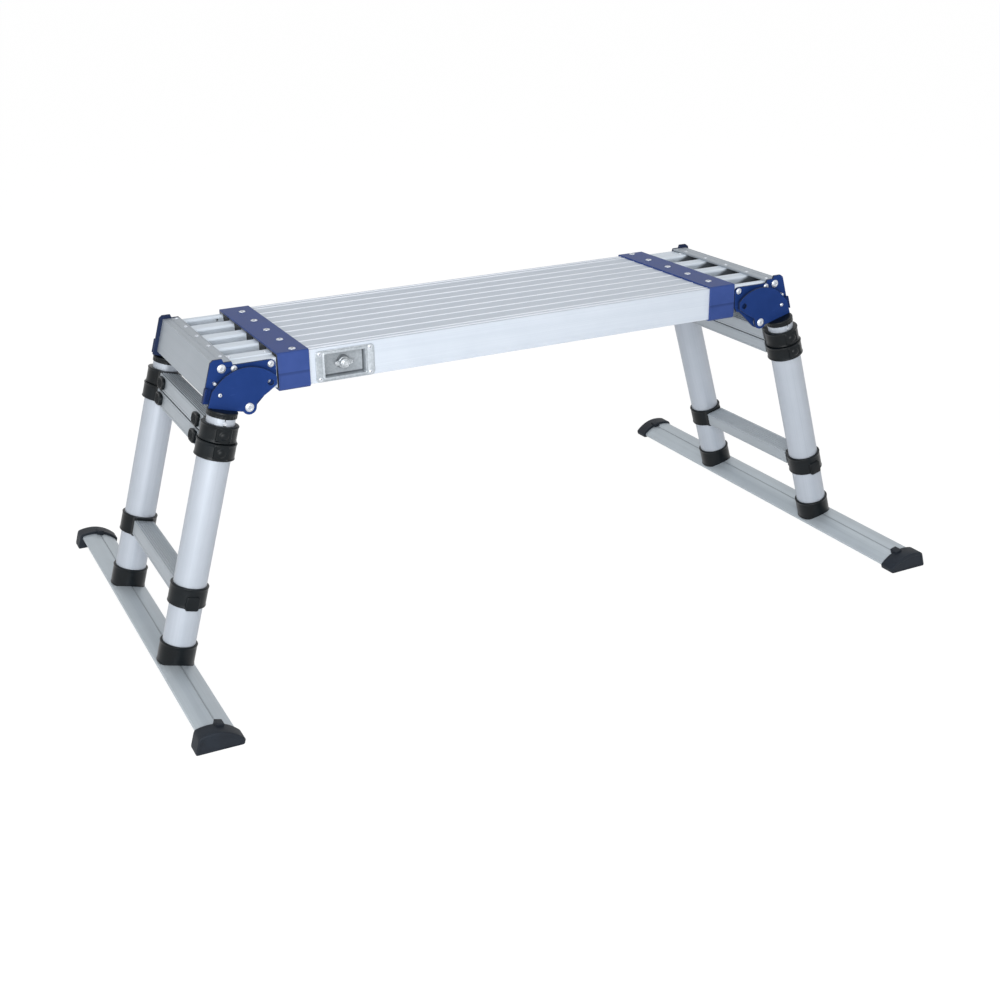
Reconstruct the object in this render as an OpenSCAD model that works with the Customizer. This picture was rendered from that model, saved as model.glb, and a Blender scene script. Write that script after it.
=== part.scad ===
// Extendable work platform: a hollow plank deck whose ends slide out on interleaved slats,
// standing on two telescopic leg frames that fold in under it.
// Frame: X along the platform, Y across it (front is -Y), Z up, origin on the floor below its middle.
// The right-hand end is drawn, and the left-hand end is the same end turned half round about Z.

/* [Deck] */
// Length of the centre deck
deck_l = 832; // [760:1:900]
// Width of the centre deck
deck_w = 294; // [290:0.5:300]
// Height of the deck's walking surface above the floor
deck_top = 480; // [440:1:540]
// Depth of the deck planks
deck_h = 54; // [50:0.5:58]
// Pitch of the bays that the slats slide in
bay_pitch = 31.8; // [31.2:0.1:32.4]
// Wall thickness of the deck planks
skin = 2.4; // [1.6:0.1:3]
// Height of the grip ridges on the planks
ridge_h = 0.8; // [0.4:0.1:1.2]
// Seam between two planks
plank_gap = 0.1; // [0.05:0.05:0.4]
// Width of the grip ridges
ridge_w = 2.4; // [1.6:0.1:4]

/* [Deck collars] */
// Width of the folded collar at each deck end
collar_w = 50; // [40:1:60]
// Sheet thickness of the collars
collar_t = 3; // [2:0.1:4]
// Length of a guide block inside its bay
block_l = 40; // [25:1:60]
// How far a guide block stands out of its bay
block_out = 5; // [3:0.5:8]

/* [Slats] */
// Room between a slat's inner end and the other end's lock housing
slat_room = 36.6; // [5:0.1:120]
// Wall thickness of the slats
slat_wall = 1.8; // [1.2:0.1:3]
// Gap between a slat and the bay around it
slat_fit = 0.3; // [0.2:0.05:0.5]
// Rounding of a slat's upper corners
slat_r = 4.5; // [3:0.5:6]
// How far an end pulls out
deck_travel = 260; // [200:5:280]

/* [End frame] */
// How far the slats stand out of the retracted deck
end_reach = 89; // [86:1:95]
// Wall thickness of the end frame
frame_t = 3; // [2:0.1:4]
// Width of the end frame's top flange
flange_w = 36; // [30:1:42]
// Width of the end frame's bottom lip
lip_w = 12; // [8:1:16]

/* [Hinge plates] */
// Thickness of the side plates and leg plates
plate_t = 4; // [3:0.1:5]
// Room between a side plate and its leg plate
plate_gap = 6.7; // [6.4:0.1:8]
// Height of the leg pivot below the walking surface
pivot_drop = 70.5; // [68:0.5:74]
// Distance of the leg pivot from the deck end
pivot_reach = 52; // [50:0.5:54]
// Radius of the leg plate's arc about the pivot
arc_r = 62; // [58:0.5:64]
// Radius of the pivot pins
pivot_r = 5; // [4:0.1:6]
// Gap round a pin that turns in its hole
pin_fit = 0.08; // [0.05:0.01:0.1]

/* [Legs] */
// Splay of the legs from the upright
splay = 15.6; // [13:0.1:17]
// Distance of a leg's axis outboard of the pivot
leg_off = 40.3; // [38:0.1:44]
// Outer diameter of the top tubes
top_d = 44; // [42:0.5:46]
// Wall thickness of the leg tubes
tube_wall = 1.5; // [1.2:0.1:1.8]
// Gap between a tube and the next one around it
tube_fit = 0.5; // [0.3:0.05:0.8]
// How far each leg tube pulls out of the next
leg_travel = 135; // [100:5:140]
// Height of the sliding collars
ring_h = 26; // [25:0.5:30]
// Wall of the sliding collars round their tubes
ring_wall = 4.5; // [3.5:0.1:6]
// Height of the base rings
base_ring_h = 33; // [28:1:40]
// Height of the base rings' underside up the leg
base_ring_s = 117; // [100:1:130]

/* [Rungs] */
// Depth of a rung across the leg frame
rung_d = 34; // [30:0.5:38]
// Height of a rung
rung_h = 24; // [22:0.5:25]
// Wall thickness of the rungs
rung_wall = 1.8; // [1.2:0.1:2.4]
// Diameter of the spring latches' pins
latch_d = 8; // [6:0.5:9]
// How far a latch goes into its tube
latch_in = 5; // [4:0.5:6]
// How far a latch draws back
latch_out = 3; // [2:0.5:4]

/* [Feet] */
// Length of a foot bar between its end caps
bar_l = 786; // [700:2:800]
// Width of a foot bar
bar_w = 60; // [56:1:66]
// Thickness of a foot bar at its edges
bar_h = 4; // [3.5:0.5:6]
// Rise of the foot bar's arched top
bar_arch = 8; // [5:0.5:10]
// Wall thickness of the foot bars
bar_wall = 1.8; // [1.2:0.1:2]
// How far an end cap reaches past its bar
cap_l = 18; // [12:1:30]
// Rubber thickness of an end cap round its bar
cap_wall = 4.7; // [3:0.1:6]

/* [Extension lock] */
// Length of the lock housing's face plate
lock_l = 97; // [90:1:104]
// Height of the lock housing's face plate
lock_h = 50; // [46:0.5:52]
// Distance of the lock from the deck end
lock_reach = 108.5; // [104:0.5:114]
// Depth of the recess behind the deck face
recess_d = 14; // [12:0.1:14.5]
// Diameter of the lock pin
lock_d = 8; // [6:0.5:9]

/* [Hidden] */
$fn = 64;

eps = 0.5;                 // overshoot of a cutting shape
touch = 0.3;               // gap between faces of parts that move past each other
shank_fit = 0.1;           // gap round a rivet's shank

// Deck section: ten bays, five for each end's slats, in turn across the width
half_w = deck_w / 2;
deck_end = deck_l / 2;
deck_bottom = deck_top - deck_h;
bay_w = bay_pitch - skin;
bay_h = deck_h - 2 * skin;
edge_in = 4 * bay_pitch + skin / 2;            // where the narrow outermost bay starts
edge_out = half_w - skin;                      // and where it ends
plank_joint = [bay_pitch, 3 * bay_pitch];      // the planks meet here, either side of the middle

// Lock
lock_x = deck_end - lock_reach;
lock_z = deck_bottom + deck_h / 2 - 2;
lock_plate_t = 2;
window_l = lock_l - 30;
window_h = lock_h - 13;
lock_in = 5;                                   // how far the lock pin goes into its slat
lock_wall_y = edge_in - skin;                  // inner face of the web that the pin passes

// The right-hand slats: four full bays and the narrow front one
slat_bays = [for (i = [0 : 3]) (3.5 - 2 * i) * bay_pitch];
slat_w = bay_w - 2 * slat_fit;
slat_h = bay_h - 2 * slat_fit;
slat_top = deck_top - skin - slat_fit;
slat_bottom = slat_top - slat_h;
edge_bay = (edge_in + edge_out) / 2;
edge_slat_w = edge_out - edge_in - 2 * slat_fit;
slat_end = deck_end + end_reach;
slat_l = slat_end + deck_end - lock_reach - window_l / 2 - skin - slat_room;
side_y = edge_out - slat_fit;                  // outer face of the slats, where the side plates lie
rail_in = slat_bays[0] + slat_w / 2;           // the side rail fills the room beside the last slat

// Hinge: leg pivot, and the leg's own frame with t outward across it and s up along it
pivot_x = deck_end + pivot_reach;
pivot_z = deck_top - pivot_drop;
pivot_s = (pivot_z + leg_off * sin(splay)) / cos(splay);
foot_x = pivot_x + leg_off * cos(splay) + pivot_s * sin(splay);
plate_y = side_y + plate_t;                    // outer face of the side plates
leg_plate_y = plate_y + plate_gap;             // inner face of the leg plates
leg_y = leg_plate_y + plate_t / 2;             // the leg tubes' axes lie in the leg plates

peep_hole = [-36, 33.5];                       // hole in the leg plate over a rivet of the side plate
peep_r = 5;
lever_pivot = [43.7, 25.8];
lever_pin_r = 3;
pivot_head_r = 8;
pivot_head_h = 2.6;

// End frame: its outer face slopes with the legs
flange_top = slat_top + frame_t;
frame_x = slat_end + 9;                        // outer top corner of the end frame
frame_bottom = slat_bottom - 1;
tab_top = flange_top + 7;                      // the side plates stand up past the flange
plate_edge = 4.5;                              // how far a side plate reaches past the end frame
plate_clear = 1.5;                             // gap between a side plate and the collar
corner_r = 9;                                  // rounding of the side plate's inner corners
lug_r = 11.5;                                  // rounding of both plates about the pivot

// Tubes and their stations along the leg
mid_d = top_d + 2 * (tube_fit + tube_wall);
low_d = mid_d + 2 * (tube_fit + tube_wall);
cap_s = pivot_s - 8.4;                         // top of the black cap, where the leg plate enters it
cap_h = 9.5;
cap_flange = 1.5;                              // how far the cap's rim stands out past its tube
cap_rib = 2.4;                                 // width of the grip ribs round it
cap_ribs = 12;
plug_l = 26;                                   // length of its plug in the tube
ring_gap = 0.6;                                // seam between the two sliding collars
mid_ring_s = cap_s - 20 - ring_h;              // underside of the upper sliding collar
low_ring_s = mid_ring_s - ring_gap - ring_h;   // underside of the lower one
mid_rung_s = mid_ring_s + ring_h / 2;
low_rung_s = low_ring_s + ring_h / 2;
base_rung_s = base_ring_s + base_ring_h / 2;
lip_h = 5;                                     // collar above its own tube's end
tube_foot = 60;                                // where the mid tube ends when it is pushed in
top_foot = tube_foot + 8;

// Foot bar: it lies across the leg, and its outer edge is the higher one
bar_s = 11.5;                                  // underside of the bar up the leg
bar_edge_s = bar_s + bar_h;
socket_s = 53;                                 // top of the foot socket
cap_grip = 10;                                 // overlap of an end cap on its bar
cap_tongue_w = 12;                             // raised tongue over its inner rim
cap_tongue_l = 13;
cap_tongue_h = cap_wall + 3.5;

// Rungs and latches
boss_y = leg_y - low_d / 2 - 7;                // face of each collar's boss that a rung butts on
spigot_l = 12;                                 // length of the boss's spigot inside the rung
tab_y = boss_y - 24;                           // middle of a latch's thumb tab
tab_l = 28;
tab_h = 20;
tab_t = 5.6;
neck_w = 10;                                   // neck between the tab and the slider inside the rung
neck_h = 8;
slider = 12;

function arc(c, r, a0, a1, n = 12) = [for (i = [0 : n]) c + r * [cos(a0 + (a1 - a0) * i / n),
                                                                 sin(a0 + (a1 - a0) * i / n)]];
function slope_x(z) = frame_x + plate_edge + (tab_top - z) * tan(splay);

// Turns the right-hand end into the left-hand one
module at_end(e) rotate([0, 0, e == "left" ? 180 : 0]) children();
// The leg's own frame: X is outward across the leg, Z up along it
module leg_space() translate([foot_x, 0, 0]) rotate([0, -splay, 0]) children();
// Draws a thing at the front and its mirror image at the back
module front_and_back() {
    mirror([0, 1, 0]) children();
    children();
}
// A sheet cut to an outline in X and Z, lying between y and y + t
module sheet_xz(y, t) translate([0, y + t, 0]) rotate([90, 0, 0]) linear_extrude(t) children();
// A round bar along Y from y0 to y1
module rod_y(x, z, r, y0, y1) translate([x, y0, z]) rotate([-90, 0, 0]) cylinder(r = r, h = y1 - y0);
// A ring along the leg from s0 to s1
module ring_s(y, r_out, r_in, s0, s1) translate([0, y, s0]) difference() {
    cylinder(r = r_out, h = s1 - s0);
    translate([0, 0, -eps]) cylinder(r = r_in, h = s1 - s0 + 2 * eps);
}
// A rivet's domed head and shank, pointing up from the origin
module rivet(r, h, shank_r, depth) {
    rotate_extrude() polygon(concat([[0, 0]], [for (a = [0 : 15 : 90]) [r * cos(a), h * sin(a)]]));
    translate([0, 0, -depth]) cylinder(r = shank_r, h = depth + h / 2);
}

// Deck

module plank_outline(y0, y1, webs) {
    difference() {
        translate([y0, deck_bottom]) square([y1 - y0, deck_h]);
        for (i = [0 : len(webs) - 2]) translate([webs[i], deck_bottom + skin])
            square([webs[i + 1] - webs[i] - skin, bay_h]);
    }
}

module lock_cut() {
    translate([lock_x - window_l / 2 - skin, edge_out - eps, lock_z - window_h / 2 - skin])
        cube([window_l + 2 * skin, skin + 2 * eps, window_h + 2 * skin]);
    rod_y(lock_x, lock_z, lock_d / 2 + shank_fit, lock_wall_y - eps, edge_in + eps);
    for (x = [-1, 1], z = [-1, 1])
        rod_y(lock_x + x * lock_rivet_x, lock_z + z * lock_rivet_z, lock_rivet_r + shank_fit,
              edge_out - eps, half_w + eps);
}

lock_rivet_x = lock_l / 2 - 7;
lock_rivet_z = lock_h / 2 - 5;
lock_rivet_r = 2;
collar_rivet_x = deck_end - 28;
collar_rivet_r = 2.4;
collar_rivet_depth = 12;

// Where the collar rivets of the right-hand deck end stand: over the bays that its slats don't use
block_bays = concat([for (y = slat_bays) -y], [edge_bay]);

module ridge() polygon([[-ridge_w / 2, -eps / 2], [-ridge_w / 4, ridge_h], [ridge_w / 4, ridge_h],
                        [ridge_w / 2, -eps / 2]]);

// One plank between y0 and y1, with its share of the grip ridges, which stop short of the collars
module plank(y0, y1, webs) {
    rotate([90, 0, 90]) translate([0, 0, -deck_end]) linear_extrude(deck_l)
        plank_outline(y0 + plank_gap / 2, y1 - plank_gap / 2, webs);
    rotate([90, 0, 90]) translate([0, 0, -deck_end + collar_w + touch])
        linear_extrude(deck_l - 2 * collar_w - 2 * touch) intersection() {
            for (i = [-4 : 4]) translate([i * bay_pitch, deck_top]) ridge();
            translate([y0 + plank_gap / 2, deck_top - eps]) square([y1 - y0 - plank_gap, 2 * eps + ridge_h]);
        }
}

module deck_planks() color("lightsteelblue") difference() {
    union() {
        plank(-plank_joint[0], plank_joint[0], [-bay_pitch + skin / 2, skin / 2, bay_pitch + skin / 2]);
        for (m = [0, 1]) mirror([0, m, 0])
            plank(plank_joint[0], plank_joint[1], [for (i = [1 : 3]) i * bay_pitch + skin / 2]);
    }
    collar_rivet_holes();
}

module edge_planks() color("lightsteelblue") difference() {
    for (m = [0, 1]) mirror([0, m, 0])
        plank(plank_joint[1], half_w + plank_gap / 2, [3 * bay_pitch + skin / 2, edge_in, half_w]);
    collar_rivet_holes();
    for (e = ["left", "right"]) at_end(e) lock_cut();
}

module collar_rivet_holes() for (e = ["left", "right"], y = block_bays) at_end(e)
    translate([collar_rivet_x, y, deck_top - skin - eps])
    cylinder(r = collar_rivet_r + shank_fit, h = skin + 2 * eps);

// Outline of a collar: bevelled below, and bent over at the top
module collar_outline(out, r) polygon(concat([
    [-half_w - out, deck_bottom - out + r], [-half_w - out + r, deck_bottom - out],
    [half_w + out - r, deck_bottom - out], [half_w + out, deck_bottom - out + r]],
    arc([half_w + out - r, deck_top + out - r], r, 0, 90, 4),
    arc([r - half_w - out, deck_top + out - r], r, 90, 180, 4)));

module deck_collars() color("royalblue") for (e = ["left", "right"]) at_end(e) difference() {
    translate([deck_end - collar_w, 0, 0]) rotate([90, 0, 90]) linear_extrude(collar_w) difference() {
        collar_outline(collar_t, collar_t);
        translate([-half_w, deck_bottom]) square([deck_w, deck_h]);
    }
    for (y = block_bays) translate([collar_rivet_x, y, deck_top - eps])
        cylinder(r = collar_rivet_r + shank_fit, h = collar_t + 2 * eps);
}

module deck_rivets() color("silver") for (e = ["left", "right"]) at_end(e) {
    for (y = block_bays) translate([collar_rivet_x, y, deck_top + collar_t])
        rivet(6, 1.8, collar_rivet_r, collar_rivet_depth);
    for (x = [-1, 1], z = [-1, 1])
        translate([lock_x + x * lock_rivet_x, half_w + lock_plate_t, lock_z + z * lock_rivet_z])
            rotate([-90, 0, 0]) rivet(3.6, 1.4, lock_rivet_r, skin + lock_plate_t);
}

// Black guide blocks: a plug in the bay and a head between the slats outside it
module guide_block(y, w, y0, y1) {
    difference() {
        union() {
            translate([deck_end - block_l, y - w / 2, deck_bottom + skin]) cube([block_l + eps, w, bay_h]);
            translate([deck_end, y0, deck_bottom + skin]) cube([block_out, y1 - y0, bay_h + skin - touch]);
        }
        translate([collar_rivet_x, y, deck_top - skin - collar_rivet_depth])
            cylinder(r = collar_rivet_r + shank_fit, h = collar_rivet_depth + skin);
    }
}

module guide_blocks() color("dimgray") for (e = ["left", "right"]) at_end(e) {
    head = 2 * bay_pitch - slat_w - 2 * touch;
    for (y = slat_bays) guide_block(-y, bay_w, -y - (y == slat_bays[0] ? bay_w : head) / 2, -y + head / 2);
    guide_block(edge_bay, edge_out - edge_in, rail_in + touch, side_y - touch);
}

// Extension lock

module lock_housings() color("gainsboro") for (e = ["left", "right"]) at_end(e) difference() {
    translate([lock_x, half_w, lock_z]) rotate([90, 0, 0]) union() {
        translate([-lock_l / 2, -lock_h / 2, -lock_plate_t]) cube([lock_l, lock_h, lock_plate_t]);
        translate([-window_l / 2 - skin, -window_h / 2 - skin, -eps])
            cube([window_l + 2 * skin, window_h + 2 * skin, recess_d + eps]);
    }
    translate([lock_x - window_l / 2, half_w - recess_d + 2, lock_z - window_h / 2])
        difference() {
            cube([window_l, recess_d + lock_plate_t, window_h]);
            rod_y(window_l / 2, window_h / 2, 11, -eps, 1.5);
        }
    rod_y(lock_x, lock_z, lock_d / 2 + shank_fit, lock_wall_y, half_w);
    for (x = [-1, 1], z = [-1, 1])
        rod_y(lock_x + x * lock_rivet_x, lock_z + z * lock_rivet_z, lock_rivet_r + shank_fit,
              half_w - eps, half_w + lock_plate_t + eps);
}

lock_floor = half_w - recess_d + 3.5;          // top of the cam ring in the recess
wing_y = lock_floor + lock_in + touch;
wing_t = 3;
knob_y = wing_y + wing_t + touch;

// The pin stands just short of its slat: it goes in by lock_in, and pulls out by hand
module lock_pin(e) color("silver") at_end(e) {
    rod_y(lock_x, lock_z, lock_d / 2, lock_wall_y + slat_fit / 2, knob_y + 1);
    translate([lock_x, knob_y, lock_z]) rotate([-90, 0, 0])
        rotate_extrude() polygon([[0, 0], [6.5, 0], [8, 1.2], [8, 3.2], [6.6, 5], [3.4, 5.8], [0, 6]]);
}

module lock_wing(e) color("gainsboro") at_end(e) translate([lock_x, wing_y, lock_z])
    rotate([-90, 0, 0]) difference() {
        union() {
            cylinder(r = 9.5, h = wing_t);
            for (a = [0, 180]) rotate([0, 0, a]) translate([10, 0, 0]) {
                cylinder(r = 4.5, h = wing_t);
                translate([-10, -4.5, 0]) cube([10, 9, wing_t]);
            }
        }
        translate([0, 0, -eps]) cylinder(r = lock_d / 2 + pin_fit, h = wing_t + 2 * eps);
    }

// Sliding end

// A box outline with its upper corners rounded to r and its lower ones to half of that
module slat_outline(w, h, r) polygon(concat(
    arc([w / 2 - r, h - r], r, 0, 90, 5), arc([r - w / 2, h - r], r, 90, 180, 5),
    arc([(r - w) / 2, r / 2], r / 2, 180, 270, 3), arc([(w - r) / 2, r / 2], r / 2, 270, 360, 3)));

module slat(y, w) translate([slat_end - slat_l, y, slat_bottom]) rotate([90, 0, 90])
    linear_extrude(slat_l) difference() {
        slat_outline(w, slat_h, slat_r);
        translate([0, slat_wall]) slat_outline(w - 2 * slat_wall, slat_h - 2 * slat_wall, slat_r - slat_wall);
    }

end_rivet_x = slat_end - 12;
end_rivet_step = 13;                           // the front slat has a second rivet this far inboard
end_rivet_r = 2;
end_head_r = 4.2;
end_head_h = 1.8;
stop_x = deck_end + 8;

module slat_holes() {
    for (y = concat(slat_bays, [-edge_bay])) translate([end_rivet_x, y, slat_top - slat_wall - eps])
        cylinder(r = end_rivet_r + shank_fit, h = slat_wall + 2 * eps);
    for (x = [end_rivet_x - end_rivet_step, stop_x]) translate([x, slat_bays[0], slat_top - slat_wall - eps])
        cylinder(r = end_rivet_r + shank_fit, h = slat_wall + 2 * eps);
    for (x = [lock_x, lock_x - deck_travel])
        rod_y(x, lock_z, lock_d / 2 + touch, rail_in - slat_wall - eps, rail_in + eps);
    rod_y(deck_end + 26, lock_z + 4, 4, -edge_in - slat_fit - slat_wall - eps, -edge_in + eps);
    front_and_back() for (p = side_rivets)
        rod_y(p[0], p[1], side_rivet_shank + shank_fit, edge_in, side_y + eps);
}

module slats(e) color("gainsboro") at_end(e) difference() {
    union() {
        for (y = slat_bays) slat(y, slat_w);
        slat(-edge_bay, edge_slat_w);
    }
    slat_holes();
}

module side_rail(e) color("gainsboro") at_end(e) difference() {
    translate([deck_end + block_out + 1, rail_in, slat_bottom])
        cube([end_reach - block_out - 1, side_y - rail_in, slat_h - 1.2]);
    translate([deck_end, rail_in + slat_wall, slat_bottom + slat_wall])
        cube([end_reach + eps, side_y - rail_in - 2 * slat_wall, slat_h - 1.2 - 2 * slat_wall]);
    for (p = side_rivets) rod_y(p[0], p[1], side_rivet_shank + shank_fit, rail_in, side_y + eps);
}

// Angle section: top flange over the slat ends, sloping outer face, short lip below
module end_frame(e) color("darkgray") at_end(e) difference() {
    sheet_xz(-side_y, 2 * side_y) polygon([
        [frame_x - flange_w, slat_top], [frame_x - flange_w, flange_top], [frame_x, flange_top],
        [frame_x + (flange_top - frame_bottom) * tan(splay), frame_bottom],
        [frame_x + (flange_top - frame_bottom) * tan(splay) - 3, frame_bottom - frame_t],
        [slat_end - lip_w, frame_bottom - frame_t], [slat_end - lip_w, slat_bottom],
        [frame_x + (flange_top - slat_bottom) * tan(splay) - frame_t / cos(splay), slat_bottom],
        [frame_x + (flange_top - slat_top) * tan(splay) - frame_t / cos(splay), slat_top]]);
    for (y = concat(slat_bays, [-edge_bay])) translate([end_rivet_x, y, slat_top - eps])
        cylinder(r = end_rivet_r + shank_fit, h = frame_t + 2 * eps);
    translate([end_rivet_x - end_rivet_step, slat_bays[0], slat_top - eps])
        cylinder(r = end_rivet_r + shank_fit, h = frame_t + 2 * eps);
}

// Rivets of the side plates, from the pivot: two large ones at the ends, two small ones between
side_rivets = [for (p = [[35, 64.2], [16, 61.7], [-41.5, 60.8], peep_hole]) [pivot_x, pivot_z] + p];
side_rivet_heads = [6.8, 5, 5.4, 3.2];
side_head_h = 2.4;
side_rivet_shank = 2;
stop_pin = [pivot_x + 48.5, pivot_z + 42.5];
stop_pin_r = 2.5;

module side_outline() {
    x0 = deck_end + plate_clear;
    p = [pivot_x, pivot_z];
    low_s = cap_s + 3;
    low_out = foot_x - low_s * sin(splay) + 26 * cos(splay);
    low_z = low_s * cos(splay);
    polygon(concat(
        [[x0, slat_bottom + 12]], arc([x0 + corner_r, slat_top - corner_r], corner_r, 180, 90, 6),
        [[frame_x - 29, slat_top], [frame_x - 27, flange_top + 2], [frame_x - 15, flange_top + 2],
         [frame_x - 13, tab_top], [slope_x(tab_top) - 4, tab_top], [slope_x(tab_top - 4), tab_top - 4],
         [slope_x(low_z + 8), low_z + 8], [low_out, low_z + 26 * sin(splay)]],
        arc(p, lug_r, -30, -140), [p + [-38, 21], [x0 + 5, slat_bottom + 3]]));
}

module side_plates(e) color("midnightblue") at_end(e) difference() {
    front_and_back() sheet_xz(side_y, plate_t) side_outline();
    front_and_back() for (p = side_rivets)
        rod_y(p[0], p[1], side_rivet_shank + shank_fit, side_y - eps, plate_y + eps);
    front_and_back() rod_y(pivot_x, pivot_z, pivot_r, side_y - eps, plate_y + eps);
    front_and_back() rod_y(stop_pin[0], stop_pin[1], stop_pin_r, side_y - eps, plate_y + eps);
}

module end_rivets(e) color("silver") at_end(e) {
    for (y = concat(slat_bays, [-edge_bay])) translate([end_rivet_x, y, flange_top])
        rivet(end_head_r, end_head_h, end_rivet_r, frame_t + slat_wall);
    translate([end_rivet_x - end_rivet_step, slat_bays[0], flange_top])
        rivet(end_head_r, end_head_h, end_rivet_r, frame_t + slat_wall);
    translate([stop_x, slat_bays[0], slat_top]) rivet(end_head_r, end_head_h, end_rivet_r, slat_wall);
    front_and_back() for (i = [0 : 3]) translate([side_rivets[i][0], plate_y, side_rivets[i][1]])
        rotate([-90, 0, 0]) rivet(side_rivet_heads[i], side_head_h, side_rivet_shank, plate_t + slat_wall);
    front_and_back() rod_y(stop_pin[0], stop_pin[1], stop_pin_r, side_y, leg_plate_y - touch);
}

// Pivot pins: a head inside, a spacer between the plates and a domed head outside
module pivot_pins(e) color("silver") at_end(e) front_and_back() translate([pivot_x, 0, pivot_z]) {
    rod_y(0, 0, pivot_head_r, side_y - pivot_head_h, side_y);
    rod_y(0, 0, pivot_r, side_y - eps, leg_plate_y + plate_t + touch);
    rod_y(0, 0, pivot_head_r, plate_y, leg_plate_y - touch);
    translate([0, leg_plate_y + plate_t + touch, 0]) rotate([-90, 0, 0])
        rivet(pivot_r + 2, pivot_head_h, pivot_r / 2, eps);
}

// Leg frame, top part

module leg_outline() polygon(concat(
    arc([pivot_x, pivot_z], arc_r, 138, 48, 24),
    [[pivot_x, pivot_z] + [55.6, 32.1], cap_point(top_d / 2 + 1), cap_point(-top_d / 2 - 1)],
    arc([pivot_x, pivot_z], lug_r, -28, -158),
    [[pivot_x, pivot_z] + [-13, 8], [pivot_x, pivot_z] + [-32.5, 19.6], [pivot_x, pivot_z] + [-45.7, 29]]));
// A point across the top of the leg's cap, as X and Z
function cap_point(t) = [foot_x + t * cos(splay) - cap_s * sin(splay), cap_s * cos(splay) + t * sin(splay)];

tongue_w = top_d - 2 * tube_wall - 6;          // the leg plate's tongue in the cap
tongue_l = plug_l + cap_h + 4.5;

module leg_plates(e) color("darkslateblue") at_end(e) difference() {
    front_and_back() {
        sheet_xz(leg_plate_y, plate_t) leg_outline();
        leg_space() translate([-tongue_w / 2, leg_plate_y, cap_s - tongue_l])
            cube([tongue_w, plate_t, tongue_l + 1]);
        translate([pivot_x + lever_pivot[0], 0, pivot_z + lever_pivot[1]]) {
            rod_y(0, 0, lever_pin_r, lever_y - touch, leg_plate_y + plate_t);
            translate([0, leg_plate_y + plate_t, 0]) rotate([-90, 0, 0])
                rivet(lever_pin_r + 0.8, end_head_h, lever_pin_r / 2, eps);
        }
    }
    front_and_back() {
        rod_y(pivot_x, pivot_z, pivot_r + pin_fit, leg_plate_y - eps, leg_plate_y + plate_t + eps);
        rod_y(pivot_x + peep_hole[0], pivot_z + peep_hole[1], peep_r,
              leg_plate_y - eps, leg_plate_y + plate_t + eps);
    }
}

// Black plastic caps close the top tubes round the leg plates' tongues
module leg_caps(e) color("darkslategray") at_end(e) leg_space() front_and_back() difference() {
    union() {
        translate([0, leg_y, cap_s - cap_h]) cylinder(r = top_d / 2 + cap_flange, h = cap_h);
        translate([0, leg_y, cap_s - cap_h - plug_l]) cylinder(r = top_d / 2 - tube_wall, h = plug_l + eps);
        for (i = [0 : cap_ribs - 1]) translate([0, leg_y, cap_s - cap_h + cap_rib / 2])
            rotate([0, 0, (i + 0.5) * 360 / cap_ribs])
            translate([top_d / 2 + eps, -cap_rib / 2, 0])
            cube([cap_flange + eps, cap_rib, cap_h - 2 * cap_rib]);
    }
    translate([-tongue_w / 2, leg_plate_y, cap_s - tongue_l]) cube([tongue_w, plate_t, tongue_l + eps]);
    latch_hole(mid_rung_s, latch_d / 2 + touch);
}

module leg_tube(y, d, s0, s1) ring_s(y, d / 2, d / 2 - tube_wall, s0, s1);
// Holes across a tube for its latch pin, on the side that faces the rung
module latch_hole(s, r) rod_y(0, s, r, leg_y - low_d, leg_y);

module top_tubes(e) color("lightgray") at_end(e) leg_space() front_and_back() difference() {
    leg_tube(leg_y, top_d, top_foot, cap_s - cap_h);
    for (s = [mid_rung_s, low_rung_s], travel = [0, leg_travel])
        latch_hole(s - travel, latch_d / 2 + touch);
    translate([0, leg_y + top_d / 2, cap_s - cap_h - 11]) rotate([90, 0, 0])
        cylinder(r = 2.5, h = 6, center = true);
    translate([-1, leg_y, cap_s - cap_h - 3]) cube([2, top_d, 4]);
}

// Fold lever: it turns on a pin in the leg plate, and its nose catches behind the stop pin
lever_t = 3;
lever_y = (plate_y + leg_plate_y - lever_t) / 2;
nose_r = norm(stop_pin - [pivot_x, pivot_z]) - stop_pin_r - 0.5;

module fold_lever(e, back) color("navy") at_end(e) mirror([0, back == (e == "right") ? 0 : 1, 0]) difference() {
    lp = [pivot_x, pivot_z] + lever_pivot;
    z0 = pivot_z + 16;
    z1 = pivot_z + 38;
    union() {
        sheet_xz(lever_y, lever_t) intersection() {
            polygon(concat(arc(lp, 6.5, 215, 330), [
                [slope_x(z0), z0], [slope_x(z1), z1],
                lp + [9, 6], lp + [3.4, 9], lp + [0.5, 19], lp + [-6.5, 19]]));
            union() {
                translate([pivot_x, pivot_z]) circle(r = nose_r, $fn = 180);
                translate([pivot_x + 53, pivot_z]) square([40, 60]);
            }
        }
        sheet_xz(lever_y, plate_y + plate_gap + plate_t - lever_y) polygon([
            [slope_x(z0), z0], [slope_x(z0) + lever_t, z0],
            [slope_x(z1) + lever_t, z1], [slope_x(z1), z1]]);
    }
    rod_y(lp[0], lp[1], lever_pin_r + pin_fit, lever_y - eps, lever_y + lever_t + eps);
}

// Sliding collars, rungs and latches

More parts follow.
